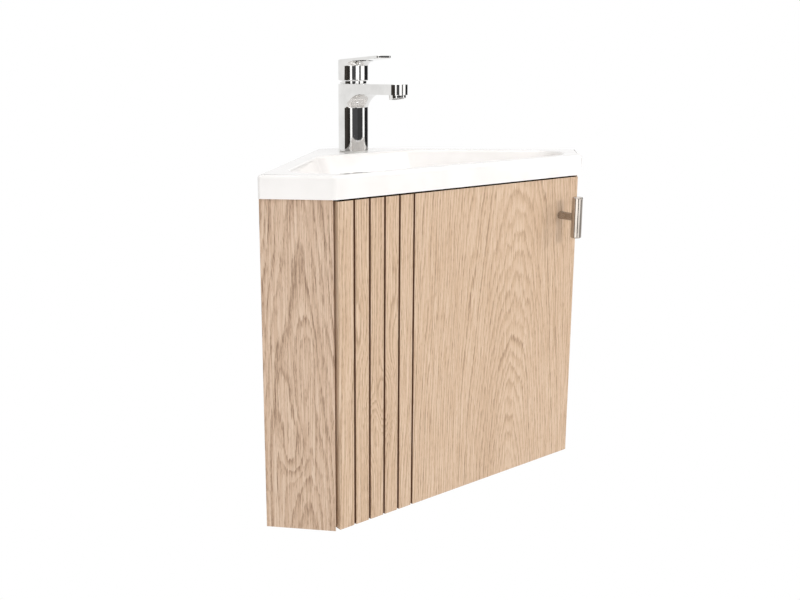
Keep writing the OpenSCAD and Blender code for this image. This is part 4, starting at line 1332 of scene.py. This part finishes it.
    def build(self) -> None:
        """Models the basin and its openings."""
        u = self.unit
        basin = self.slab()
        hollow = block("hollow", (-330, -400, u.height - 5), (330, 0, u.rim_z - self.deck))
        for point, outward in self.sides(self.deck)[:5]:
            slice_off(hollow, point, outward)
        slice_off(hollow, (0, -(self.front - self.front_skirt), 0), (0, -1, 0))
        score(hollow, (0, 0, 0), (1, 0, 0))
        combine(basin, hollow, "DIFFERENCE")
        bottom = u.rim_z - self.depth
        outer = self.form("outer_form", self.shell)
        for side in (-1, 1):
            place = (side * self.hinge_x, -self.hinge_n)
            relief = round_bar("relief", 2 * self.hinge_relief, bottom, u.height, place, 48)
            combine(outer, relief, "DIFFERENCE")
        combine(basin, outer, "UNION")
        boss = round_bar("boss", self.seat_d + 6, bottom - 15, bottom - 5, (0, -u.waste_n))
        score(boss, (0, 0, 0), (1, 0, 0))
        combine(basin, boss, "UNION")
        combine(basin, self.form("inner_form", 0), "DIFFERENCE")
        for name, diameter, low, high, n in (
            ("seat", self.seat_d, bottom - 4, bottom + 30, u.waste_n),
            ("tail", self.tail_hole, bottom - 40, bottom + 30, u.waste_n),
            ("tap", self.tap_hole, u.height, u.rim_z + 5, u.tap_n),
        ):
            cutter = round_bar(name, diameter, low, high, (0, -n))
            score(cutter, (0, 0, 0), (1, 0, 0))
            combine(basin, cutter, "DIFFERENCE")
        tidy(basin, 35)
        self.finish(basin, Glaze(), "cabinet", "glaze", "basin")


# ---------- mixer ----------


@dataclass
class Mixer(SubAssembly):
    """The single-lever mixer: body with spout, aerator, neck and lever."""

    diameter: float = 49.0
    height: float = 109.0
    foot: float = 1.5
    reach: float = 114.0
    spout_width: float = 32.0
    spout_thick: float = 16.0
    blend_r: float = 26.0
    tilt: float = 9.0
    aerator_d: float = 26.0
    neck: float = 5.0
    cap: float = 32.5
    lever_reach: float = 84.0
    lever_width: float = 26.0
    lever_thick: float = 4.5
    lever_blend: float = 10.0
    rise: float = 6.3
    back_slope: float = 9.2
    edge: float = 0.7
    tip_corner: float = 14.75
    bore_d: float = 38.0
    chamber_d: float = 40.0
    chamber_low: float = 96.0
    aerator_down: float = 6.3
    aerator_up: float = 2.1
    aerator_wall: float = 3.0
    cap_edge: float = 1.2
    cap_wall: float = 5.5
    blade_corner: float = 5.0
    blade_edge: float = 1.1

    def at(self, z: float) -> float:
        """Height above the basin's deck as a height of the unit."""
        return self.unit.rim_z + z

    def to_mouth(self, piece: Piece) -> None:
        """Tilts a piece made at the origin and moves it to the spout's mouth."""
        mouth = self.at(self.height - self.spout_thick)
        lay(piece, (0, -(self.unit.tap_n + self.reach), mouth), -self.tilt)

    def taper(self, piece: Piece, r1: float, r2: float, reach: float) -> None:
        """Trims both flanks of a piece to planes that touch two circles on the tap's plan.

        Args:
            piece: The piece to trim.
            r1: Radius of the circle round the tap's axis.
            r2: Radius of the circle at the arm's end.
            reach: Distance between the two.
        """
        lean = (r2 - r1) / reach
        out = math.sqrt(1 - lean * lean)
        for s in (-1, 1):
            slice_off(piece, (s * r1 * out, -self.unit.tap_n + r1 * lean, 0), (s * out, lean, 0))

    def flare(self, radius: float, top: float, half_width: float, reach: float) -> Piece:
        """Models a front collar that widens upwards in a hollow curve, within the arm above it.

        Args:
            radius: Radius of the curve.
            top: Height at which it ends, above the deck.
            half_width: Half the arm's width at its end.
            reach: Distance of the arm's end from the tap's axis.

        Returns:
            The collar.
        """
        n = self.unit.tap_n
        axis = self.diameter / 2 - 0.3 + radius
        low = self.at(top - radius)
        collar = round_bar("collar", 2 * axis - 0.8, low, self.at(top + 0.6), (0, -n), 128)
        let_go()
        bpy.ops.mesh.primitive_torus_add(
            major_radius=axis * MM,
            minor_radius=radius * MM,
            major_segments=128,
            minor_segments=128,
            location=(0, -n * MM, low * MM),
        )
        combine(collar, settle("hollow_curve"), "DIFFERENCE")
        plan = block("plan", (-30, -n - reach, low - 1), (30, -n - 2, self.at(top + 0.3)))
        self.taper(plan, self.diameter / 2 - 0.4, half_width - 0.4, reach)
        combine(collar, plan, "INTERSECT")
        return collar

    def body(self) -> Piece:
        """Models the column and spout.

        Returns:
            The tap's body.
        """
        n = self.unit.tap_n
        body = round_bar("mixer_body", self.diameter, self.at(self.foot), self.at(self.height), (0, -n), 128)
        crown = self.at(self.height - 0.1) * MM
        round_edges(body, lambda e: above(e, crown), self.edge, 3)
        tip = self.reach + self.spout_width / 2
        low = self.height - self.spout_thick
        spout = block("spout", (-30, -n - tip, self.at(low)), (30, -n - 1.9, self.at(self.height)))
        self.taper(spout, self.diameter / 2 - 0.03, self.spout_width / 2, self.reach)
        end = -(n + tip - 1) * MM
        round_edges(spout, lambda e: upright(e) and e.verts[0].co.y < end, self.tip_corner, 20)
        back = -(n + 2) * MM
        round_edges(spout, lambda e: above(e, crown) and min(v.co.y for v in e.verts) < back, self.edge, 3)
        combine(spout, self.flare(self.blend_r, low, self.spout_width / 2, self.reach), "UNION")
        combine(body, spout, "UNION")
        for name, diameter, start, stop in (
            ("bore", self.bore_d, -5, 30),
            ("chamber", self.chamber_d, self.chamber_low, self.height + 5),
        ):
            cutter = round_bar(name, diameter, self.at(start), self.at(stop), (0, -n), 64)
            combine(body, cutter, "DIFFERENCE")
        pocket = round_bar("pocket", self.aerator_d + 0.3, -20, self.aerator_up + 0.1, (0, 0), 64)
        self.to_mouth(pocket)
        combine(body, pocket, "DIFFERENCE")
        tidy(body, 25)
        return body

    def lever(self) -> Piece:
        """Models the lever: its cap, its thin blade and the curve between them.

        Returns:
            The lever.
        """
        n = self.unit.tap_n
        r = self.diameter / 2
        low = self.height + self.neck
        top = low + self.cap
        slope = self.rise / (self.lever_reach + r)
        lever = round_bar("mixer_lever", self.diameter, self.at(low), self.at(top + 8), (0, -n), 128)
        foot = self.at(low + 0.1) * MM
        round_edges(lever, lambda e: max(v.co.z for v in e.verts) < foot, self.cap_edge, 2)
        tilt = math.radians(self.back_slope)
        slice_off(lever, (0, -n, self.at(low)), (0, math.sin(tilt), -math.cos(tilt)))
        pitch = math.atan(slope)
        under = top + slope * 2 * r - self.lever_thick
        end = -n - self.lever_reach
        blade = block("blade", (-30, end, self.at(under - 1)), (30, -n - 3.4, self.at(top + 8)))
        self.taper(blade, r - 0.03, self.lever_width / 2, self.lever_reach)
        tip = (end + 1) * MM
        round_edges(blade, lambda e: upright(e) and e.verts[0].co.y < tip, self.blade_corner, 8)
        slice_off(blade, (0, -n - r, self.at(under)), (0, -math.sin(pitch), -math.cos(pitch)))
        combine(blade, self.flare(self.lever_blend, under, self.lever_width / 2, self.lever_reach), "UNION")
        combine(lever, blade, "UNION")
        slice_off(lever, (0, -n + r, self.at(top)), (0, math.sin(pitch), math.cos(pitch)))
        inside = self.diameter - 2 * self.cap_wall
        cavity = round_bar("cavity", inside, self.at(low - 5), self.at(low + 20), (0, -n), 64)
        combine(lever, cavity, "DIFFERENCE")
        tidy(lever)
        crown = self.at(top - 1) * MM
        round_edges(lever, lambda e: sharp(e, 42) and above(e, crown), self.blade_edge, 4)
        tidy(lever, 25)
        return lever

    def aerator(self) -> Piece:
        """Models the aerator's collar with its bore.

        Returns:
            The collar.
        """
        collar = round_bar("mixer_aerator", self.aerator_d, -self.aerator_down, self.aerator_up, (0, 0), 72)
        bore = round_bar("bore", self.aerator_d - 2 * self.aerator_wall, -8, 5, (0, 0), 72)
        combine(collar, bore, "DIFFERENCE")
        round_edges(collar, lambda e: sharp(e, 60), 0.6, 3)
        self.to_mouth(collar)
        tidy(collar)
        return collar

    def build(self) -> None:
        """Models the mixer's visible pieces and dresses the hidden ones."""
        self.finish(self.body(), CHROME, "cabinet", "chrome", "tap_body")
        self.finish(self.lever(), CHROME, "tap_handle", "chrome", "tap_lever")
        self.finish(self.aerator(), CHROME, "cabinet", "chrome", "aerator_housing")
        self.dress(CHROME, "tap_turret")
        self.dress(CLEAR_BUMPER, "tap_base_gasket")
        self.dress(BLACK_RUBBER, "tap_fixing_gasket")
        self.dress(WHITE_PIPE, "tap_cartridge")
        self.dress(TURNED_BRASS, "tap_cartridge_nut", "tap_stud", "tap_fixing_nut")
        self.dress(DARK_ACETAL, "aerator_insert")
        self.dress(FITTING_STEEL, "tap_fixing_washer", "tap_tilt_pin", "tap_grub_screw")
        self.dress(DIE_CAST, "tap_lever_stem")
        self.dress(BLUE_CAP, "tap_index_plug")


# ---------- waste and trap ----------


@dataclass
class Waste(SubAssembly):
    """The pop-up waste and the bottle trap with its pipe to the wall."""

    def build(self) -> None:
        """Dresses the waste and the trap."""
        self.dress(CHROME, "waste_flange", "waste_plug", "wall_rose")
        self.dress(BLACK_RUBBER, "waste_flange_gasket", "waste_lower_gasket", "waste_plug_seal")
        self.dress(WHITE_PIPE, "waste_nut", "trap_inlet_pipe", "trap_union_nut", "trap_body", "trap_cup")
        self.dress(WHITE_PIPE, "trap_slip_nuts", "trap_outlet_pipe")


# ---------- studio ----------


@dataclass
class Studio:
    """Camera, floor, lights and the white surround."""

    floor_z: float = -360.0
    eye: Point = (-892.57, -1313.92, 619.25)
    right: Point = (0.808869, -0.587969, -0.004828)
    up: Point = (0.124407, 0.163110, 0.978733)
    lens_px: float = 909.8
    centre_px: tuple[float, float] = (349.0, 262.3)
    size_px: tuple[float, float] = (800.0, 600.0)
    sensor_mm: float = 36.0
    floor_side: float = 60.0
    card_away: float = 2.0

    def camera(self) -> None:
        """Places the camera at the viewing angle."""
        data = bpy.data.cameras.new("camera")
        width, height = self.size_px
        data.sensor_width = self.sensor_mm
        data.lens = self.lens_px / width * self.sensor_mm
        data.shift_x = (width / 2 - self.centre_px[0]) / width
        data.shift_y = (self.centre_px[1] - height / 2) / width
        camera = bpy.data.objects.new("camera", data)
        bpy.context.scene.collection.objects.link(camera)
        right = Vector(self.right).normalized()
        back = right.cross(Vector(self.up)).normalized()
        up = back.cross(right)
        turn = Matrix((right, up, back)).transposed().to_4x4()
        camera.matrix_world = Matrix.Translation(Vector(self.eye) * MM) @ turn
        bpy.context.scene.camera = camera

    def floor(self) -> None:
        """Lays the plain pale floor."""
        let_go()
        bpy.ops.mesh.primitive_plane_add(size=self.floor_side, location=(0, 0, self.floor_z * MM))
        floor = settle("studio_floor")
        material, tree = empty_material("studio_floor_paint")
        matt = add_node(tree, "ShaderNodeBsdfDiffuse", {"Color": linear("F4F4F4")})
        glow = add_node(tree, "ShaderNodeEmission", {"Color": (1, 1, 1, 1), "Strength": 1.0})
        path = add_node(tree, "ShaderNodeLightPath").outputs
        share = maths(tree, "MAXIMUM", path["Is Camera Ray"], path["Is Glossy Ray"])
        mixed = add_node(tree, "ShaderNodeMixShader", {0: share, 1: matt.outputs[0], 2: glow.outputs[0]})
        add_node(tree, "ShaderNodeOutputMaterial", {"Surface": mixed.outputs[0]})
        floor.data.materials.append(material)

    def surround(self) -> None:
        """Fills the world: plain light, and a white that camera and glossy rays see."""
        bpy.context.scene.view_settings.view_transform = "Standard"
        world = bpy.data.worlds.new("studio")
        bpy.context.scene.world = world
        world.use_nodes = True
        tree = world.node_tree
        tree.nodes.clear()
        path = add_node(tree, "ShaderNodeLightPath").outputs
        mirrored = maths(tree, "MAXIMUM", path["Is Glossy Ray"], path["Is Transmission Ray"])
        seen = maths(tree, "MAXIMUM", path["Is Camera Ray"], mirrored)
        plain = add_node(tree, "ShaderNodeBackground", {"Color": (1, 1, 1, 1), "Strength": 0.60})
        white = add_node(tree, "ShaderNodeBackground", {"Color": (1, 1, 1, 1), "Strength": 1.0})
        mixed = add_node(tree, "ShaderNodeMixShader", {0: seen, 1: plain.outputs[0], 2: white.outputs[0]})
        add_node(tree, "ShaderNodeOutputWorld", {"Surface": mixed.outputs[0]})

    def lamp(self, name: str, place: Point, target: Point, size: float, watts: float) -> None:
        """Adds a soft square lamp.

        Args:
            name: The lamp's name.
            place: Its place in metres.
            target: The point that it faces.
            size: Its side in metres.
            watts: Its power.
        """
        data = bpy.data.lights.new(name, "AREA")
        data.shape = "SQUARE"
        data.size = size
        data.energy = watts
        lamp = bpy.data.objects.new(name, data)
        bpy.context.scene.collection.objects.link(lamp)
        lamp.location = place
        lamp.rotation_euler = (Vector(target) - Vector(place)).to_track_quat("-Z", "Y").to_euler()

    def card(
        self, name: str, first: float, last: float, grey: str, strength: float, span: tuple[float, float]
    ) -> None:
        """Hangs a card that only mirror-like surfaces see, in a ring round the unit.

        Args:
            name: The card's name.
            first: Where it begins, in degrees from the camera, to the right when positive.
            last: Where it ends.
            grey: Its shade; white would match the surround.
            strength: How much brighter it is than that shade.
            span: Heights of its lower and upper edges in metres.
        """
        let_go()
        bpy.ops.mesh.primitive_plane_add(size=1)
        card = settle(name)
        centre = Vector((0, -0.1))
        to_eye = (Vector(self.eye[:2]) * MM - centre).normalized()
        to_right = Vector((-to_eye.y, to_eye.x))
        mesh = edit(card, "VERT")
        for vertex in mesh.verts:
            angle = math.radians(first if vertex.co.x < 0 else last)
            spot = centre + self.card_away * (to_eye * math.cos(angle) + to_right * math.sin(angle))
            vertex.co = (spot.x, spot.y, span[0] if vertex.co.y < 0 else span[1])
        bmesh.update_edit_mesh(card.data)
        close()
        material, tree = empty_material(name + "_cloth")
        glow = add_node(tree, "ShaderNodeEmission", {"Color": linear(grey), "Strength": strength})
        add_node(tree, "ShaderNodeOutputMaterial", {"Surface": glow.outputs[0]})
        card.data.materials.append(material)
        card.visible_camera = False
        card.visible_diffuse = False
        card.visible_shadow = False
        card.visible_transmission = False

    def build(self) -> None:
        """Sets up camera, floor, lamps and cards."""
        self.camera()
        self.floor()
        self.surround()
        knob = (0.19, -0.38, 0.3)
        middle = (0.0, -0.25, 0.3)
        self.lamp("key_front", (0.2, -2.75, 1.15), knob, 0.45, 18.3)
        self.lamp("key_right", (1.68, -2.2, 1.25), knob, 0.45, 11.5)
        self.lamp("fill_left", (-2.6, -1.0, 1.1), middle, 1.6, 11.5)
        self.lamp("top_soft", (0.0, -0.6, 2.6), middle, 1.8, 13.5)
        # Edges' heights in metres. Cards above split show in the mixer, those below in the knob's bar.
        foot, split, band_low, band_high, top = -0.5, 0.31, 0.53, 0.655, 1.1
        # Where each begins and ends in degrees, its shade, strength, and lower and upper edge.
        cards = (
            (-71, -46, "433F3B", 1.0, split, top),
            (-46, -24, "322F2C", 1.0, split, top),
            (-24, -9, "FFFFFF", 1.4, split, top),
            (-9, 32, "525254", 1.0, split, band_low),
            (32, 76, "434344", 1.0, split, band_low),
            (-9, 20, "4E4E4F", 1.0, band_low, top),
            (20, 46, "FFFFFF", 1.4, band_low, band_high),
            (20, 46, "383839", 1.0, band_high, top),
            (46, 60, "4A4A4A", 1.0, band_low, top),
            (60, 76, "FFFFFF", 1.4, band_low, band_high),
            (60, 76, "383839", 1.0, band_high, top),
            (76, 94, "FFFFFF", 1.4, split, top),
            (94, 146, "2C2C2D", 1.0, split, top),
            (-60, -36, "5A4D44", 1.0, foot, split),
            (-36, 11, "FFFFFF", 2.0, foot, split),
            (11, 26, "3A3A3A", 1.0, foot, split),
            (26, 58, "FFFFFF", 1.7, foot, split),
            (58, 100, "BEBEBE", 1.0, foot, split),
        )
        for k, (first, last, grey, strength, low, high) in enumerate(cards):
            self.card(f"card_{k}", first, last, grey, strength, (low, high))


def main() -> None:
    """Builds the scene: studio first, then each sub-assembly in order."""
    logging.basicConfig(level=logging.INFO, format="%(name)s: %(message)s")
    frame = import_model()
    let_go()
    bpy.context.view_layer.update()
    unit = Unit()
    finishes = Finishes()
    Studio().build()
    parts: list[SubAssembly] = [
        Cabinet(frame, unit, finishes),
        Door(frame, unit, finishes),
        Basin(frame, unit, finishes),
        Mixer(frame, unit, finishes),
        Waste(frame, unit, finishes),
    ]
    for part in parts:
        part.build()
        LOG.info("%s: %s", type(part).__name__, ", ".join(part.pieces))


if __name__ == "__main__":
    main()
